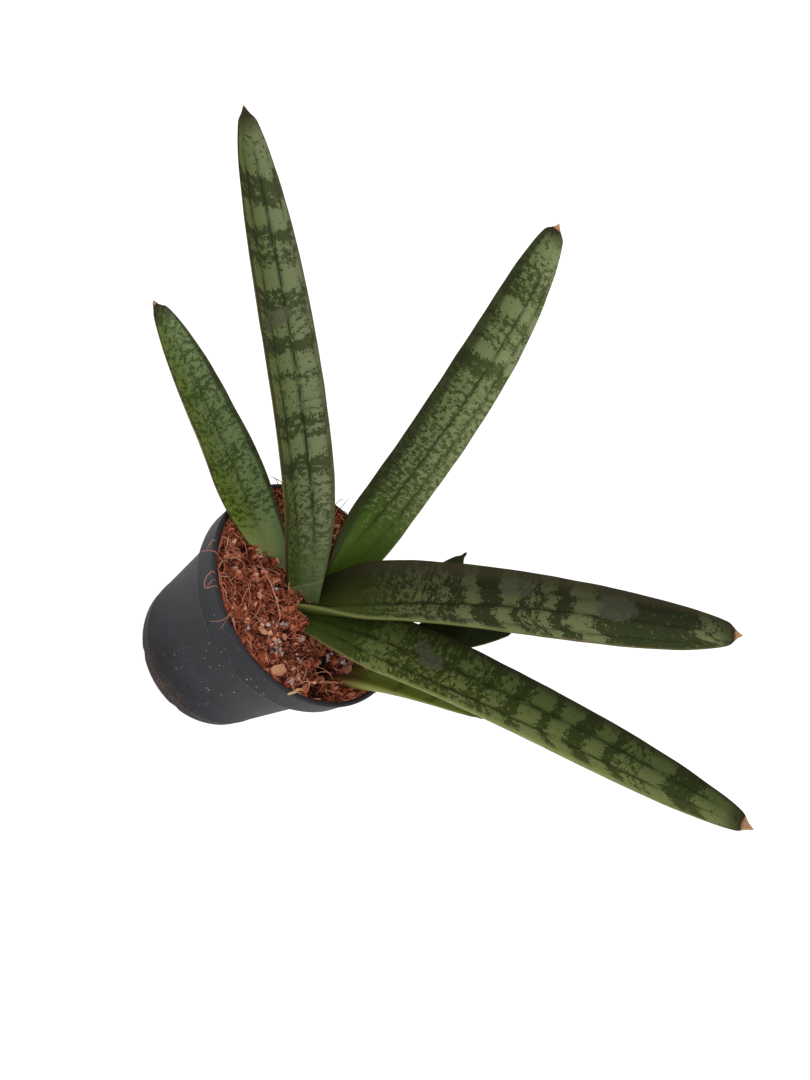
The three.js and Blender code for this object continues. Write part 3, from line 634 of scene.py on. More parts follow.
def leafSkin(name, leaf):
    looks = skinLooks
    finish = Finish(name, 0.07)
    spread, distance = finish.split(finish.start.add("UVMap", {"uv_map": "place"}))[:2]
    across, side = finish.split(finish.start.add("UVMap", {"uv_map": "side"}))[:2]
    seed = leaf["seed"]
    fromTip = leaf["length"] - distance
    share = distance / leaf["length"]

    def grain(fineAcross, fineAlong, offset, detail=3, roughness=0.6):
        # noise over the skin, between -0.5 and 0.5, with its own fineness each way
        return finish.noise(finish.join(spread * fineAcross, distance * fineAlong, seed + offset), 1,
                            detail, roughness) - 0.5

    # the dark long lines part the leaf into strips, in which the bands jump
    sway = grain(0.22, 0.05, 5, 2)
    gaps = grain(0.5, 0.16, 7, 2)
    jump, lineDark = 0.0, 0.0
    for atSoil, atMiddle, atTip, hop, strength in leaf["lines"]:
        bend = share * (2 * atSoil - 4 * atMiddle + 2 * atTip) + (4 * atMiddle - 3 * atSoil - atTip)
        off = across - (share * bend + atSoil + sway * 0.05)
        jump = jump + off.smooth(-0.015, 0.015) * hop
        core = abs(off).smooth(*looks["lineCore"]) * strength
        halo = abs(off).smooth(*looks["lineHalo"]) * (looks["haloShare"] * strength)
        lineDark = core.atLeast(halo).atLeast(lineDark)
    if leaf["lines"]:
        lineDark = (lineDark * gaps.smooth(-0.25, 0.05) * distance.smooth(*looks["linesFrom"])
                    * fromTip.smooth(*looks["linesTo"]))

    # bands with ragged edges that swing towards the tip near a margin
    toLeft, toRight = leaf["slant"]
    bent = distance + jump
    if toLeft:
        bent = bent - (-looks["slantFrom"] - across).atLeast(0) * toLeft
    if toRight:
        bent = bent - (across - looks["slantFrom"]).atLeast(0) * toRight
    ragged = grain(0.9, 0.3, 1)
    bandPlace = bent + ragged * (leaf["jag"] * looks["raggedness"]) + sway * leaf["jag"]
    stops = [(spot / leaf["length"], (dark, dark, dark, 1)) for spot, dark in leaf["bands"].items()]
    band = bandPlace.add("ValToRGB", {"stops": stops}, {"Fac": bandPlace / leaf["length"]})
    # streaks run across the leaf and break the bands up, less so near the soil
    streak = finish.noise(finish.join(spread * 0.3, bent * 0.52, seed + 9), 1, 4, 0.62) - 0.5
    fine = grain(0.9, 1.5, 13, 3, 0.65)
    low = distance.smooth(leaf["baseReach"], leaf["baseReach"] * looks["baseFull"])
    level = band + (streak * leaf["blotch"] + fine * leaf["mottle"]) * (1 - looks["baseCalm"] * low)
    dark = level.smooth(*looks["bandEdge"])

    # left and right colours differ partly by the leaf's own colour and partly by painted sheen; the base
    # colours near the soil are partly painted light against shade
    rightness = across.smooth(-0.85, 0.85)
    pale = finish.mix(low, finish.mix(rightness, *leaf["pale"]), finish.mix(rightness, *leaf["base"]))
    deep = finish.mix(low, finish.mix(rightness, *leaf["dark"]), finish.mix(rightness, *leaf["baseDark"]))
    skin = finish.mix(dark, pale, deep)
    skin = finish.mix(lineDark * 0.9, skin, finish.mix(looks["lineDarkness"], leaf["dark"][1], (0, 0, 0)))

    # long fibres, and small flecks of both shades
    fibre = grain(4.5, 0.2, 17, 2, 0.5)
    skin = finish.mix(fibre.smooth(-0.1, 0.4) * looks["fibreStrength"], skin, pale)
    for size, length, offset, shade in ((1.3, 1.5, 23, pale), (1.2, 1.4, 29, deep)):
        flecks = grain(size, length, offset, 2).smooth(*looks["fleck"])
        skin = finish.mix(flecks * looks["fleckStrength"], skin, shade)

    # the underside is plainer and yellower
    back = finish.mix(low * 0.8, finish.mix(dark * 0.75, *looks["back"]), deep)
    skin = finish.mix(side.smooth(*looks["backFrom"]) * looks["backStrength"], skin, back)

    # darker zones along the margins, and a thin edge
    uneven = across + (fine * 0.1 + sway * 0.12 + streak * 0.08)
    start, shade, strength = leaf["rightMargin"]
    skin = finish.mix(uneven.smooth(start, min(start + 0.28, 0.999)) * strength, skin, shade)
    start, shade, strength = leaf["leftMargin"]
    skin = finish.mix(uneven.smooth(start, max(start - 0.1, -0.999)) * strength, skin, shade)
    skin = finish.mix(across.smooth(0.96, 0.995) * 0.7, skin, looks["rightEdge"])
    skin = finish.mix(across.smooth(-0.97, -0.996) * 0.6, skin, looks["leftEdge"])

    # part of the left margin is bright, and a sheath ends in a pale line
    brightFrom, brightTo, strength = leaf["bright"]
    if strength:
        fadeIn, fadeOut = looks["brightFade"]
        edge = (across + fine * 0.05).smooth(-0.88, -0.96)
        begun = (distance - (brightFrom - fadeIn)).smooth(0, fadeIn)
        along = begun * distance.smooth(brightTo + fadeOut, brightTo)
        skin = finish.mix(edge * along * strength, skin, looks["brightEdge"])
    if "sheath" in leaf:
        lineAt, shade = leaf["sheath"]
        below = lineAt - distance + across * across * 3 + sway * 2
        skin = finish.mix(below.smooth(-0.3, 0.3) * 0.35, skin, shade)
        skin = finish.mix(abs(below).smooth(0.55, 0.15) * 0.7, skin, shade)

    # grey rubbed marks
    rubbed = 0.0
    for markSpread, markDistance, reachSpread, reachDistance in leaf["scuffs"]:
        x = (spread - markSpread) / reachSpread
        y = (distance - markDistance) / reachDistance
        gone = (x * x + y * y).math("SQRT") + streak * 0.6 + fine * 0.4
        rubbed = gone.smooth(1.1, 0.8).atLeast(rubbed)
    if leaf["scuffs"]:
        skin = finish.mix(rubbed * 0.65, skin, finish.mix(rightness, *looks["rubbed"]))

    # the dry tip: dark first, then red-brown, and tan at the very end
    brown, tan = leaf["tip"]
    frayed = fromTip + fine * 2.4 + streak * 1.5
    skin = finish.mix(frayed.smooth(brown + looks["tipDarkLength"], brown) * 0.7, skin, looks["tipDark"])
    skin = finish.mix(frayed.smooth(brown, brown - looks["tipBrownEdge"]) * 0.85, skin, looks["tipBrown"])
    skin = finish.mix(frayed.smooth(tan + 0.7, tan - 0.3), skin, looks["tipTan"])
    finish.set("Base Color", skin)
    finish.set("Roughness", 0.5 + 0.16 * streak + 0.14 * fibre + rubbed * 0.25)
    finish.bump(grain(2.6, 0.05, 41, 2) * 0.7 + fine * 0.25 + ragged * 0.3, 0.14)
    return finish.material


print("leaves")
leafPieces = {}
for name, own in leaves.items():
    leaf = {**commonLeaf, **own}
    leafPieces[name] = makeLeaf(name + "_skin", leaf)
    place(leafPieces[name], name, "leaf", leafSkin("skin of " + name, leaf))


# Coconut coir: a rough bed with flakes, crumbs and fibres on it

mixSizes = {
    "gap": 0.35, "top": 82.4, "rise": 4.4, "lump": 1.1, "waves": 9, "shortest": 7.0, "longest": 16.0,
    "around": 340, "rings": 118, "edge": 50.3, "sink": 0.5, "brim": 2.6, "brimStart": 36, "seed": 7,
    # the layers of roughness: height and grain size; near the edge less of it is left
    "swell": (1.3, 3.6), "flake": (2.1, 2.7), "crumb": (1.0, 1.1),
    "edgeCalm": (0.6, -3), "edgeRoughness": 0.35,
    # how light the bed is in the middle, and how much lighter for each millimetre of height, as painted shade
    # that darkens low places
    "tintMiddle": 0.4, "paintedShadeRise": 0.2,
}
# place, radius and depth of each hollow; holes have steeper sides, and a depth below zero is a mound
hollows = [(32, -16, 5, 4.2), (41, -19, 7, 2.8), (17, -33, 4, 1.8), (-30, 26, 6, 2.2), (5, -2, 10, 5),
           (-1, -19.5, 5, -4), (6, -21, 6, -2.5)]
holes = [(30.2, -15.5, 5.0, 6.0), (12.5, -38.5, 2.2, 3.0), (2, -42, 2.2, 2.4), (36, -31, 3.0, 3.0),
         (-24, -20, 3.0, 2.2), (0.5, 18, 9.0, 6.0), (4, 5, 6.0, 5.0), (9, -22, 5.5, -3.5),
         (41.5, -15.5, 4.5, -3.6)]


def makeDraw(seed):
    # the same plain generator as the frame's, so that the lumps lie in the same places
    state = seed

    def draw():
        nonlocal state
        state = (state * 1664525 + 1013904223) % 4294967296
        return state / 4294967296

    return draw


def makeLumps():
    draw = makeDraw(mixSizes["seed"])
    waves = []
    for index in range(mixSizes["waves"]):
        heading = draw() * 2 * math.pi
        length = lerp(mixSizes["shortest"], mixSizes["longest"], draw())
        waves.append((2 * math.pi * math.cos(heading) / length, 2 * math.pi * math.sin(heading) / length,
                      draw() * 2 * math.pi))
    return waves


mixWaves = makeLumps()


def mixHeight(x, y):
    m = mixSizes
    away = math.hypot(x, y)
    share = min(away / (potSizes["rimRadius"] - potSizes["wall"]), 1)
    lumps = sum(math.sin(a * x + b * y + phase) for a, b, phase in mixWaves) / math.sqrt(len(mixWaves))
    height = m["top"] + m["rise"] * (1 - share ** 2) + m["lump"] * lumps * (1 - share ** 8)
    for places, steepness in ((hollows, 2), (holes, 4)):
        for placeX, placeY, radius, depth in places:
            height -= depth * math.exp(-(math.hypot(x - placeX, y - placeY) / radius) ** steepness)
    return height + m["brim"] * smoothStep(m["brimStart"], m["edge"], away)


def cracked(x, y, size, seed):
    # 0 in the cracks between cells of a size, 1 on their tops
    gaps = noise.voronoi(Vector((x / size, y / size, seed)))[0]
    return smoothStep(0, 0.55, gaps[1] - gaps[0])


def groundHeight(x, y):
    # the mix as it is seen, with its flakes and crumbs
    m = mixSizes
    calm, inner = m["edgeCalm"]
    inward = smoothStep(m["edge"] + calm, m["edge"] + inner, math.hypot(x, y))
    swell, swellSize = m["swell"]
    rough = swell * noise.fractal(Vector((x, y, 3)) / swellSize, 0.8, 2.1, 3)
    for layer, seed in (("flake", 5), ("crumb", 9)):
        rise, size = m[layer]
        rough += rise * (cracked(x, y, size, seed) - 0.5)
    return mixHeight(x, y) - m["sink"] + rough * lerp(m["edgeRoughness"], 1, inward)


def groundTintAndShade(x, y):
    # painted shade: low places are darker
    m = mixSizes
    return m["tintMiddle"] + m["paintedShadeRise"] * (groundHeight(x, y) - mixHeight(x, y) + m["sink"])


def makeBed():
    m = mixSizes
    inset = potSizes["wall"] + m["gap"]
    bottom = potSizes["floor"] + m["gap"]
    side = [(radius, height) for radius, height in potLine(inset) if height >= bottom][:-1]
    top = [(m["edge"] * (1 - ring / m["rings"]), m["top"]) for ring in range(m["rings"])]
    bm = spinLine([(0, bottom), (side[0][0], bottom), *side, *top, (0, m["top"])], m["around"])
    tintLayer = bm.verts.layers.float.new("tint")
    for vert in bm.verts:
        if vert.co.z > m["top"] - 0.01:
            vert.co.z = groundHeight(vert.co.x, vert.co.y)
            vert[tintLayer] = groundTintAndShade(vert.co.x, vert.co.y)
    return finishPiece(bm, "coir_bed")


# the browns of the coir from the deepest to the lightest
coirBrowns = [(0.0, (36, 14, 10)), (0.2, (78, 34, 23)), (0.4, (130, 62, 42)),
              (0.6, (170, 93, 67)), (0.8, (200, 132, 104)), (1.0, (226, 176, 148))]
# centre, reach and strength of each place where hardly any light gets in
shades = [((30.6, -15.0, 78.5), 7.5, 0.5), ((37.5, -27.5, 80.0), 7.5, 0.3), ((-30, 28, 82), 12.0, 0.25)]


def grainyFinish(name, specular, grainSize, detail, roughness, more, relief):
    # a dull finish whose grain roughens it; it goes with its place and grain, for its colours
    finish = Finish(name, specular)
    spot = finish.objectPlace()
    grain = finish.noise(spot, grainSize, 4, detail)
    finish.set("Roughness", roughness + more * grain)
    finish.bump(grain, relief)
    return finish, spot, grain


def coirFinish(name):
    finish, spot, grain = grainyFinish(name, 0.15, 1.7, 0.65, 0.8, 0.2, 0.15)
    # the tint holds painted shade in low places, and the places listed in shades are darkened further as
    # painted shade
    level = finish.tint() + (grain - 0.5) * 0.4
    for centre, reach, strength in shades:
        away = spot.add("VectorMath", {"operation": "DISTANCE"}, {0: spot, 1: centre}, 1)
        level = level - away.smooth(reach, 0.5 * reach) * strength
    finish.set("Base Color", level.add("ValToRGB", {"stops": coirBrowns}, {"Fac": level}))
    return finish.material


print("coir bed")
place(makeBed(), "potting_mix", "coir", coirFinish("coir bed"))


def asTemplate(bm):
    mesh = bpy.data.meshes.new("template")
    bm.to_mesh(mesh)
    bm.free()
    return mesh


def makeStrandTemplate(rings):
    # a three-sided prism with its rings at whole numbers of height
    bm = bmesh.new()
    bmesh.ops.create_circle(bm, cap_ends=True, segments=3, radius=1)
    top = list(bm.faces)[0]
    for ring in range(rings - 1):
        grown = bmesh.ops.extrude_face_region(bm, geom=[top])["geom"]
        raised = [part for part in grown if isinstance(part, bmesh.types.BMVert)]
        bmesh.ops.translate(bm, vec=(0, 0, 1), verts=raised)
        if ring:
            bmesh.ops.delete(bm, geom=[top], context="FACES_ONLY")
        top = [part for part in grown if isinstance(part, bmesh.types.BMFace)][0]
    bmesh.ops.recalc_face_normals(bm, faces=bm.faces)
    return asTemplate(bm)


def bendStrand(verts, route, radius, taper=0.45):
    # the verts of one template are laid along a route of as many points
    frames = []
    for index, point in enumerate(route):
        ahead = (route[min(index + 1, len(route) - 1)] - route[max(index - 1, 0)]).normalized()
        sideways = ahead.cross(Vector((0, 0, 1)))
        sideways = sideways.normalized() if sideways.length > 0.01 else Vector((1, 0, 0))
        frames.append((point, sideways, sideways.cross(ahead)))
    for vert in verts:
        index = round(vert.co.z)
        point, sideways, upward = frames[index]
        size = radius * (1 - taper * (2 * index / (len(route) - 1) - 1) ** 2)
        vert.co = point + sideways * (vert.co.x * size) + upward * (vert.co.y * size)


def repeat(template, count):
    # many copies of one mesh, the verts of each, and a tint that every vert carries
    bm = bmesh.new()
    for index in range(count):
        bm.from_mesh(template)
    tintLayer = bm.verts.layers.float.new("tint")
    bm.verts.ensure_lookup_table()
    size = len(template.vertices)
    copies = [bm.verts[index * size:(index + 1) * size] for index in range(count)]
    bpy.data.meshes.remove(template)
    return bm, copies, tintLayer


def makeStrands(name, strands):
    # strands: a route, a radius and a tint each, all routes with the same number of points
    bm, copies, tintLayer = repeat(makeStrandTemplate(len(strands[0][0])), len(strands))
    for verts, (route, radius, tint) in zip(copies, strands):
        bendStrand(verts, route, radius)
        for vert in verts:
            vert[tintLayer] = tint
    bmesh.ops.recalc_face_normals(bm, faces=bm.faces)
    return finishPiece(bm, name)


def leafCore():
    # all leaves as one tree, to keep the coir out of them
    bm = bmesh.new()
    for piece in leafPieces.values():
        bm.from_mesh(piece.data)
    tree = BVHTree.FromBMesh(bm)
    bm.free()
    return tree


coreTree = leafCore()


def insideLeaf(point):
    searchReach = 20 * metresPerMm
    near, normal, index, gap = coreTree.find_nearest(point * metresPerMm, searchReach)
    return near is not None and (point * metresPerMm - near).dot(normal) < 0


fibreSizes = {
    "count": 1900, "rings": 7, "shortest": 3.5, "longest": 14.0, "thinnest": 0.11, "thickest": 0.26,
    "reach": 50.0, "bend": 1.6, "wobble": 0.35, "lift": (0.1, 2.0), "sag": 0.9, "tint": (0.56, 0.18, 0.08),
    "seed": 17,
}


def makeFibreField():
    f = fibreSizes
    rng = random.Random(f["seed"])
    strands = []
    while len(strands) < f["count"]:
        angle = rng.uniform(0, 2 * math.pi)
        radius = f["reach"] * math.sqrt(rng.random())
        heading = rng.uniform(0, 2 * math.pi)
        length = lerp(f["shortest"], f["longest"], rng.random() ** 1.8)
        bend = rng.uniform(-f["bend"], f["bend"])
        wobble = rng.uniform(0, 2 * math.pi)
        lift = f["lift"][0] + f["lift"][1] * rng.random() ** 2.4
        thick = lerp(f["thinnest"], f["thickest"], rng.random() ** 1.5)
        middle, scatter, liftTint = f["tint"]
        tint = min(max(rng.gauss(middle, scatter) + liftTint * lift, 0.05), 0.98)
        x, y = radius * math.cos(angle), radius * math.sin(angle)
        route = []
        for index in range(f["rings"]):
            share = index / (f["rings"] - 1)
            arch = math.sin(math.pi * share) ** 0.6
            limit = min(1, (f["reach"] + 0.2) / max(math.hypot(x, y), 0.01))
            height = mixHeight(x * limit, y * limit) - f["sag"] + (f["sag"] + lift) * arch
            route.append(Vector((x * limit, y * limit, height)))
            heading += bend / f["rings"] + f["wobble"] * math.sin(wobble + 9 * share)
            x += length / (f["rings"] - 1) * math.cos(heading)
            y += length / (f["rings"] - 1) * math.sin(heading)
        if any(insideLeaf(point) for point in route[1:-1]):
            continue
        strands.append((route, thick, tint))
    return makeStrands("coir_fibres", strands)


print("coir fibres")
coirSkin = coirFinish("coir fibre")
place(makeFibreField(), "potting_mix", "coir", coirSkin)

# Single long strands: points that they pass through, radius and tint
straySizes = {"rings": 15, "thickness": 1.35, "waver": 0.5, "waverFineness": 0.22, "seed": 31}
strays = [
    ([(-23, -22, 87), (-14, -25, 90), (-5.6, -27, 90), (2.2, -29, 88.5), (5, -31, 85)], 0.26, 0.8),
    ([(-17.5, -11.4, 87), (-12, -13.7, 89.5), (-5.9, -17.1, 89), (6.9, -27.2, 86)], 0.2, 0.78),
    ([(2.5, -25, 87), (5.1, -21.2, 89), (9.3, -20.4, 89.5), (12.6, -23, 85.5)], 0.18, 0.72),
    ([(-17.7, -32.9, 86), (-14.9, -35.6, 88.5), (-10.2, -37.9, 88), (-5.9, -39.9, 84)], 0.2, 0.7),
    ([(-15.2, -32.9, 86), (-12.9, -38.9, 88), (-5.7, -46.2, 83)], 0.2, 0.74),
    ([(-7.6, -31.7, 86), (-4.5, -36.6, 88), (-1.9, -40.5, 84)], 0.22, 0.78),
    ([(29.9, -26, 84), (31, -22, 86), (33.5, -18, 85.5), (37.9, -14.7, 83)], 0.16, 0.85),
    ([(33, -30, 83), (35, -23, 86), (39.2, -16.4, 86.5), (41.7, -8.1, 87.5), (44.2, 4.4, 88)], 0.2, 0.85),
    ([(38.3, -29, 83), (36.7, -25, 86), (37, -20.5, 85.5), (40.6, -15.2, 83)], 0.17, 0.8),
    ([(27, -22, 84), (30, -20, 85.8), (33.4, -17.4, 85.5), (35, -13, 83.5)], 0.14, 0.8),
    ([(34, -27, 83.5), (36, -21.5, 85.2), (39, -18, 85), (43, -13, 83)], 0.14, 0.75),
    ([(28, -9, 86), (33.3, -8, 91), (38.4, -5, 92.5), (46.7, -2.4, 91.5), (53, -2, 88)], 0.19, 0.88),
    ([(41.4, -12, 84), (41.6, -4, 88.5), (44, 5, 88.5)], 0.17, 0.86),
    ([(26, -26, 84), (28.3, -30, 86.5), (31, -33.5, 83.5)], 0.2, 0.9),
    # over the rim
    ([(-31, -37, 83), (-33.6, -39.9, 86.3), (-35, -41.8, 86.2), (-36.6, -44.8, 84.5)], 0.12, 0.8),
    ([(-19, -43.5, 82), (-21.5, -49, 86.6), (-22.6, -54, 85.8), (-26, -51, 86.2), (-27.3, -46.6, 86.4),
     (-24.6, -43, 82)], 0.14, 0.8),
    ([(-23, -44, 83), (-24, -48.5, 86.6), (-22.6, -53.6, 86)], 0.1, 0.8),
    ([(-11, -44, 82), (-9.4, -49, 86.4), (-8, -54, 86.2), (-9.9, -59, 84.4)], 0.11, 0.78),
    ([(-9.5, -44, 82), (-8.6, -49, 86.3), (-5.6, -55.4, 83.6)], 0.09, 0.78),
    ([(-37, -33, 83), (-38.5, -38, 86.2), (-36.1, -42, 84.5)], 0.12, 0.8),
    ([(-44.6, 14, 83), (-49.2, 14.4, 86.8), (-52, 13, 87.6), (-54.4, 10.6, 86.4)], 0.15, 0.2),
    ([(-45.6, 12, 83), (-50, 12, 87), (-53.6, 13.4, 86)], 0.15, 0.25),
    ([(-44, 17, 83), (-48, 18.2, 87), (-51.4, 19.6, 88.2)], 0.14, 0.2),
    ([(-27, 39, 82), (-28.4, 43, 87.2), (-30.5, 48, 88.8)], 0.14, 0.2),
    ([(-29, 38.6, 82), (-31.4, 43, 87), (-31, 47.6, 86.6)], 0.14, 0.25),
]


def smoothRoute(points, count):
    # evenly spaced places on a smooth curve through the points
    ends = [points[0] * 2 - points[1], *points, points[-1] * 2 - points[-2]]
    route = []
    for index in range(count):
        place = index / (count - 1) * (len(points) - 1)
        span = min(int(place), len(points) - 2)
        share = place - span
        a, b, c, d = ends[span:span + 4]
        route.append((b * 2 + (c - a) * share + (a * 2 - b * 5 + c * 4 - d) * share ** 2
                      + (b * 3 - a - c * 3 + d) * share ** 3) / 2)
    return route


def makeStrays():
    rng = random.Random(straySizes["seed"])
    noise.seed_set(straySizes["seed"])
    strands = []
    for points, radius, tint in strays:
        route = smoothRoute([Vector(point) for point in points], straySizes["rings"])
        shift = Vector((rng.uniform(0, 50), 0, 0))
        for index, point in enumerate(route):
            waver = noise.noise_vector(point * straySizes["waverFineness"] + shift)
            route[index] = point + waver * straySizes["waver"]
        strands.append((route, radius * straySizes["thickness"], tint))
    return makeStrands("coir_strays", strands)


place(makeStrays(), "potting_mix", "coir", coirSkin)

flakeSizes = {
    "crumbs": 4600, "smallest": 0.4, "largest": 1.5, "chips": 620, "chipSmallest": 1.2, "chipLargest": 2.5,
    "reach": 49.6, "lift": 0.7, "tint": (0.12, 0.17), "flatness": (0.18, 0.5), "seed": 23,
}


def makeBits(name, bits, subdivisions, jitter, seed):
    # bits: centre, size, flatness and tint each, as rough flakes or pebbles
    rng = random.Random(seed)
    ball = bmesh.new()
    bmesh.ops.create_icosphere(ball, subdivisions=subdivisions, radius=1)
    bm, copies, tintLayer = repeat(asTemplate(ball), len(bits))
    for index, (centre, size, flatness, tint) in enumerate(bits):
        axis = Vector((rng.gauss(0, 1), rng.gauss(0, 1), rng.gauss(0, 1)))
        turn = Matrix.Rotation(rng.uniform(0, 2 * math.pi), 3, axis)
        stretch = Vector((size, size * rng.uniform(0.5, 1), size * flatness))
        for vert in copies[index]:
            push = 1 + jitter * noise.noise(vert.co * 1.7 + Vector((index * 3.1, 0, 0)))
            vert.co = centre + turn @ Vector(a * b for a, b in zip(vert.co * push, stretch))
            vert[tintLayer] = tint
    return finishPiece(bm, name, smooth=subdivisions > 1)


def makeCrumbs():
    f = flakeSizes
    rng = random.Random(f["seed"])
    bits = []
    while len(bits) < f["crumbs"] + f["chips"]:
        large = len(bits) >= f["crumbs"]
        smallest, largest = (f["chipSmallest"], f["chipLargest"]) if large else (f["smallest"], f["largest"])
        size = lerp(smallest, largest, rng.random() ** 2)
        angle, radius = rng.uniform(0, 2 * math.pi), (f["reach"] + 1 - size) * math.sqrt(rng.random())
        x, y = radius * math.cos(angle), radius * math.sin(angle)
        centre = Vector((x, y, groundHeight(x, y) + rng.uniform(0.0, f["lift"]) * min(size, 1.2)))
        tint = min(max(rng.gauss(*f["tint"]) + groundTintAndShade(x, y), 0.02), 0.95)
        if not insideLeaf(centre):
            bits.append((centre, size, rng.uniform(*f["flatness"]), tint))
    return makeBits("coir_crumbs", bits, 1, 1.1, f["seed"])


print("crumbs")
place(makeCrumbs(), "potting_mix", "coir", coirSkin)

# Pale mineral grains: place of each cluster, how many, and how far they scatter
grainSizes = {
    "smallest": 0.5, "largest": 1.25, "height": 0.6, "flatness": (0.5, 0.95), "seed": 5, "shapeSeed": 8,
}
grainClusters = [
    (1, -35, 3, 1.2), (10.5, -35.8, 10, 1.1), (14.5, -34.5, 9, 1.0), (15.6, -24, 4, 0.8),
    (27.8, -12.8, 6, 1.0), (33.8, -7.2, 4, 0.8), (38.3, -6.8, 4, 0.8), (27, -39.2, 7, 1.0),
    (-0.1, -44.5, 1, 0.4), (-9, -20.5, 2, 0.6), (20, -29, 3, 1.6), (6, -30, 5, 1.4), (-20, -28, 2, 3.0),
    (0, 30, 8, 14),
]


def makeGrains():
    g = grainSizes
    rng = random.Random(g["seed"])
    bits = []
    for x, y, count, scatter in grainClusters:
        for index in range(count):
            spotX, spotY = x + rng.gauss(0, scatter), y + rng.gauss(0, scatter)
            size = rng.uniform(g["smallest"], g["largest"])
            centre = Vector((spotX, spotY, mixHeight(spotX, spotY) + g["height"] + rng.uniform(-0.2, 0.6)))
            if not insideLeaf(centre) and math.hypot(spotX, spotY) < flakeSizes["reach"]:
                bits.append((centre, size, rng.uniform(*g["flatness"]), rng.random()))
    return makeBits("pale_grains", bits, 2, 1.0, g["shapeSeed"])


def grainFinish():
    finish, spot, grain = grainyFinish("pale grain", 0.2, 1.8, 0.6, 0.8, 0.15, 0.2)
    shade = finish.mix(finish.tint(), (202, 190, 186), (166, 142, 136))
    finish.set("Base Color", finish.mix(grain.smooth(0.48, 0.68), shade, (120, 84, 72)))
    return finish.material


place(makeGrains(), "potting_mix", "coir", grainFinish())

# Single chips: centre, half sizes, the turn about each axis in degrees, and tint
chipPieces = [
    ((20.7, -42.3, 86.6), (3.4, 2.3, 0.6), (30, -14, 62), 0.66),
    ((47.0, -4.2, 85.2), (3.0, 1.7, 0.6), (30, 20, 20), 0.25),
    ((44.4, -6.6, 84.8), (2.4, 1.4, 0.5), (10, 30, 50), 0.15),
    ((17.6, -18.9, 87.8), (2.2, 1.0, 0.8), (0, 10, -20), 0.4),
    ((4.0, -39.0, 86.6), (1.7, 1.2, 0.9), (20, 0, 40), 0.7),
    ((31.6, -40.4, 85.3), (2.9, 0.6, 0.28), (8, -4, 78), 1.0),
    ((32.6, -35.8, 85.6), (3.0, 0.55, 0.28), (8, -6, 62), 1.0),
    ((10.5, -31.0, 87.2), (1.6, 1.1, 0.6), (15, 20, 10), 0.6),
    ((-16, -29, 88.0), (1.3, 1.0, 0.6), (15, 20, 10), 0.5),
    ((39.6, -21.6, 82.4), (1.9, 0.6, 0.3), (0, 8, -30), 0.9),
    ((43.6, -16.0, 82.8), (2.2, 0.5, 0.3), (0, 8, 20), 0.9),
]


def makeChips():
    bm = bmesh.new()
    tintLayer = bm.verts.layers.float.new("tint")
    for index, (centre, halves, turns, tint) in enumerate(chipPieces):
        turn = Euler([math.radians(angle) for angle in turns]).to_matrix()
        made = bmesh.ops.create_icosphere(bm, subdivisions=3, radius=1)["verts"]
        for vert in made:
            wobble = 1 + 0.45 * noise.noise(vert.co * 1.1 + Vector((index * 7.7, 0, 0)))
            vert.co = Vector(centre) + turn @ Vector(a * b * wobble for a, b in zip(vert.co, halves))
            vert[tintLayer] = tint
    return finishPiece(bm, "loose_chips")


def chipFinish():
    finish, spot, grain = grainyFinish("chip", 0.2, 0.8, 0.6, 0.75, 0.15, 0.15)
    tint = finish.tint()
    stops = [(0.1, (160, 88, 50)), (0.4, (150, 84, 62)), (0.6, (176, 120, 96)), (1.0, (200, 166, 118))]
    shade = tint.add("ValToRGB", {"stops": stops}, {"Fac": tint})
    finish.set("Base Color", finish.mix(grain.smooth(0.5, 0.75) * 0.6, shade, (120, 60, 40)))
    return finish.material


place(makeChips(), "potting_mix", "coir", chipFinish())


# Rhizome: hidden in the coir, so the frame's own solid stays

def rhizomeFinish():
    finish, spot, grain = grainyFinish("rhizome flesh", 0.5, 0.25, 0.6, 0.7, 0.2, 0.4)
    finish.set("Base Color", finish.mix(grain.smooth(0.3, 0.7), (206, 176, 128), (160, 118, 70)))
    return finish.material


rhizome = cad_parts["rhizome"]
rhizome.data.materials.clear()
rhizome.data.materials.append(rhizomeFinish())


# Floor, light and camera

def makeFloor():
    halfSide = 20000
    bm = bmesh.new()
    bmesh.ops.create_grid(bm, x_segments=1, y_segments=1, size=halfSide)
    floor = finishPiece(bm, "floor")
    # a sheet that glows, so that it stays white and hardly any shadow shows on it
    finish = Finish("floor")
    finish.set("Base Color", (0.3, 0.3, 0.3, 1))
    finish.set("Roughness", 0.9)
    finish.set("Emission Color", (1, 1, 1, 1))
    finish.set("Emission Strength", 0.9)
    floor.data.materials.append(finish.material)


# direction from which each wide soft light comes, its width in degrees, and its strength
lightSizes = {"overhead": ((0.25, -0.1, 1.0), 70, 0.9), "front": ((0.3, -1.0, 0.7), 60, 0.45)}
skyStrength = 0.62


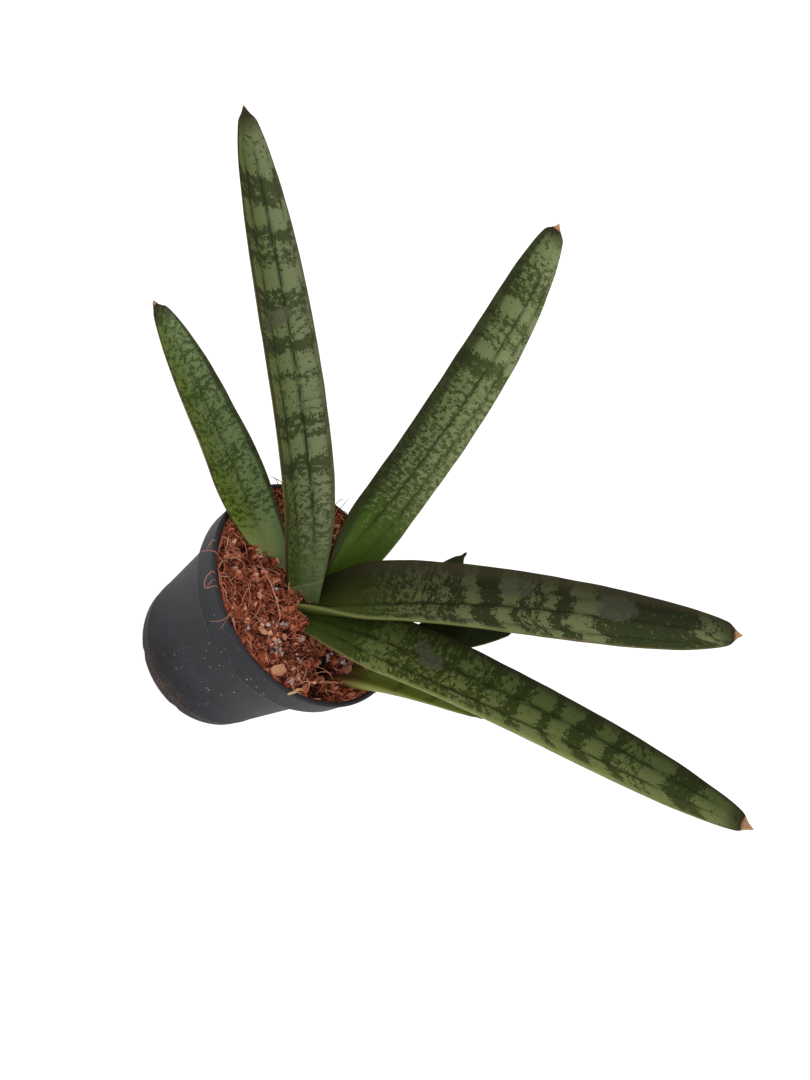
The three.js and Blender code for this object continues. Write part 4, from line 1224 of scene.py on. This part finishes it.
def makeLights():
    for name, (source, width, power) in lightSizes.items():
        lamp = bpy.data.lights.new(name, "SUN")
        lamp.angle = math.radians(width)
        lamp.energy = power
        light = bpy.data.objects.new(name, lamp)
        light.rotation_euler = Vector(source).to_track_quat("Z", "Y").to_euler()
        bpy.context.scene.collection.objects.link(light)
    # an even sky lights the plant from all sides
    world = bpy.data.worlds.new("studio")
    world.use_nodes = True
    sky = world.node_tree.nodes["Background"]
    sky.inputs[0].default_value = (1.0, 0.99, 0.97, 1)
    sky.inputs[1].default_value = skyStrength
    bpy.context.scene.world = world


cameraSizes = {
    "aim": (0, 0, 85), "distance": 420.0, "elevation": 44.06, "roll": 60.2,
    "aimPixel": (314.2, 591.0), "focalPixels": 945.0, "image": (810, 1080), "sensor": 36.0,
}


def makeCamera():
    c = cameraSizes
    elevation, roll = math.radians(c["elevation"]), math.radians(c["roll"])
    forward = Vector((0, math.cos(elevation), -math.sin(elevation)))
    plainUp = Vector((0, math.sin(elevation), math.cos(elevation)))
    plainRight = Vector((1, 0, 0))
    # the plant leans clockwise in the picture, so the camera is rolled the other way
    up = plainUp * math.cos(roll) - plainRight * math.sin(roll)
    right = plainRight * math.cos(roll) + plainUp * math.sin(roll)
    eye = Vector(c["aim"]) - forward * c["distance"]
    overRight = (c["aimPixel"][0] - c["image"][0] / 2) / c["focalPixels"]
    overUp = (c["image"][1] / 2 - c["aimPixel"][1]) / c["focalPixels"]
    turn = (forward + right * overRight + up * overUp).rotation_difference(forward)
    right, up, forward = turn @ right, turn @ up, turn @ forward
    basis = Matrix((right, up, -forward)).transposed().to_4x4()
    lens = bpy.data.cameras.new("camera")
    lens.sensor_fit = "VERTICAL"
    lens.sensor_height = c["sensor"]
    lens.lens = c["focalPixels"] / c["image"][1] * c["sensor"]
    lens.clip_start = 0.01
    camera = bpy.data.objects.new("camera", lens)
    camera.matrix_world = Matrix.Translation(eye * metresPerMm) @ basis
    bpy.context.scene.collection.objects.link(camera)
    bpy.context.scene.camera = camera


print("stage")
makeFloor()
makeLights()
makeCamera()
bpy.context.scene.view_settings.view_transform = "Standard"
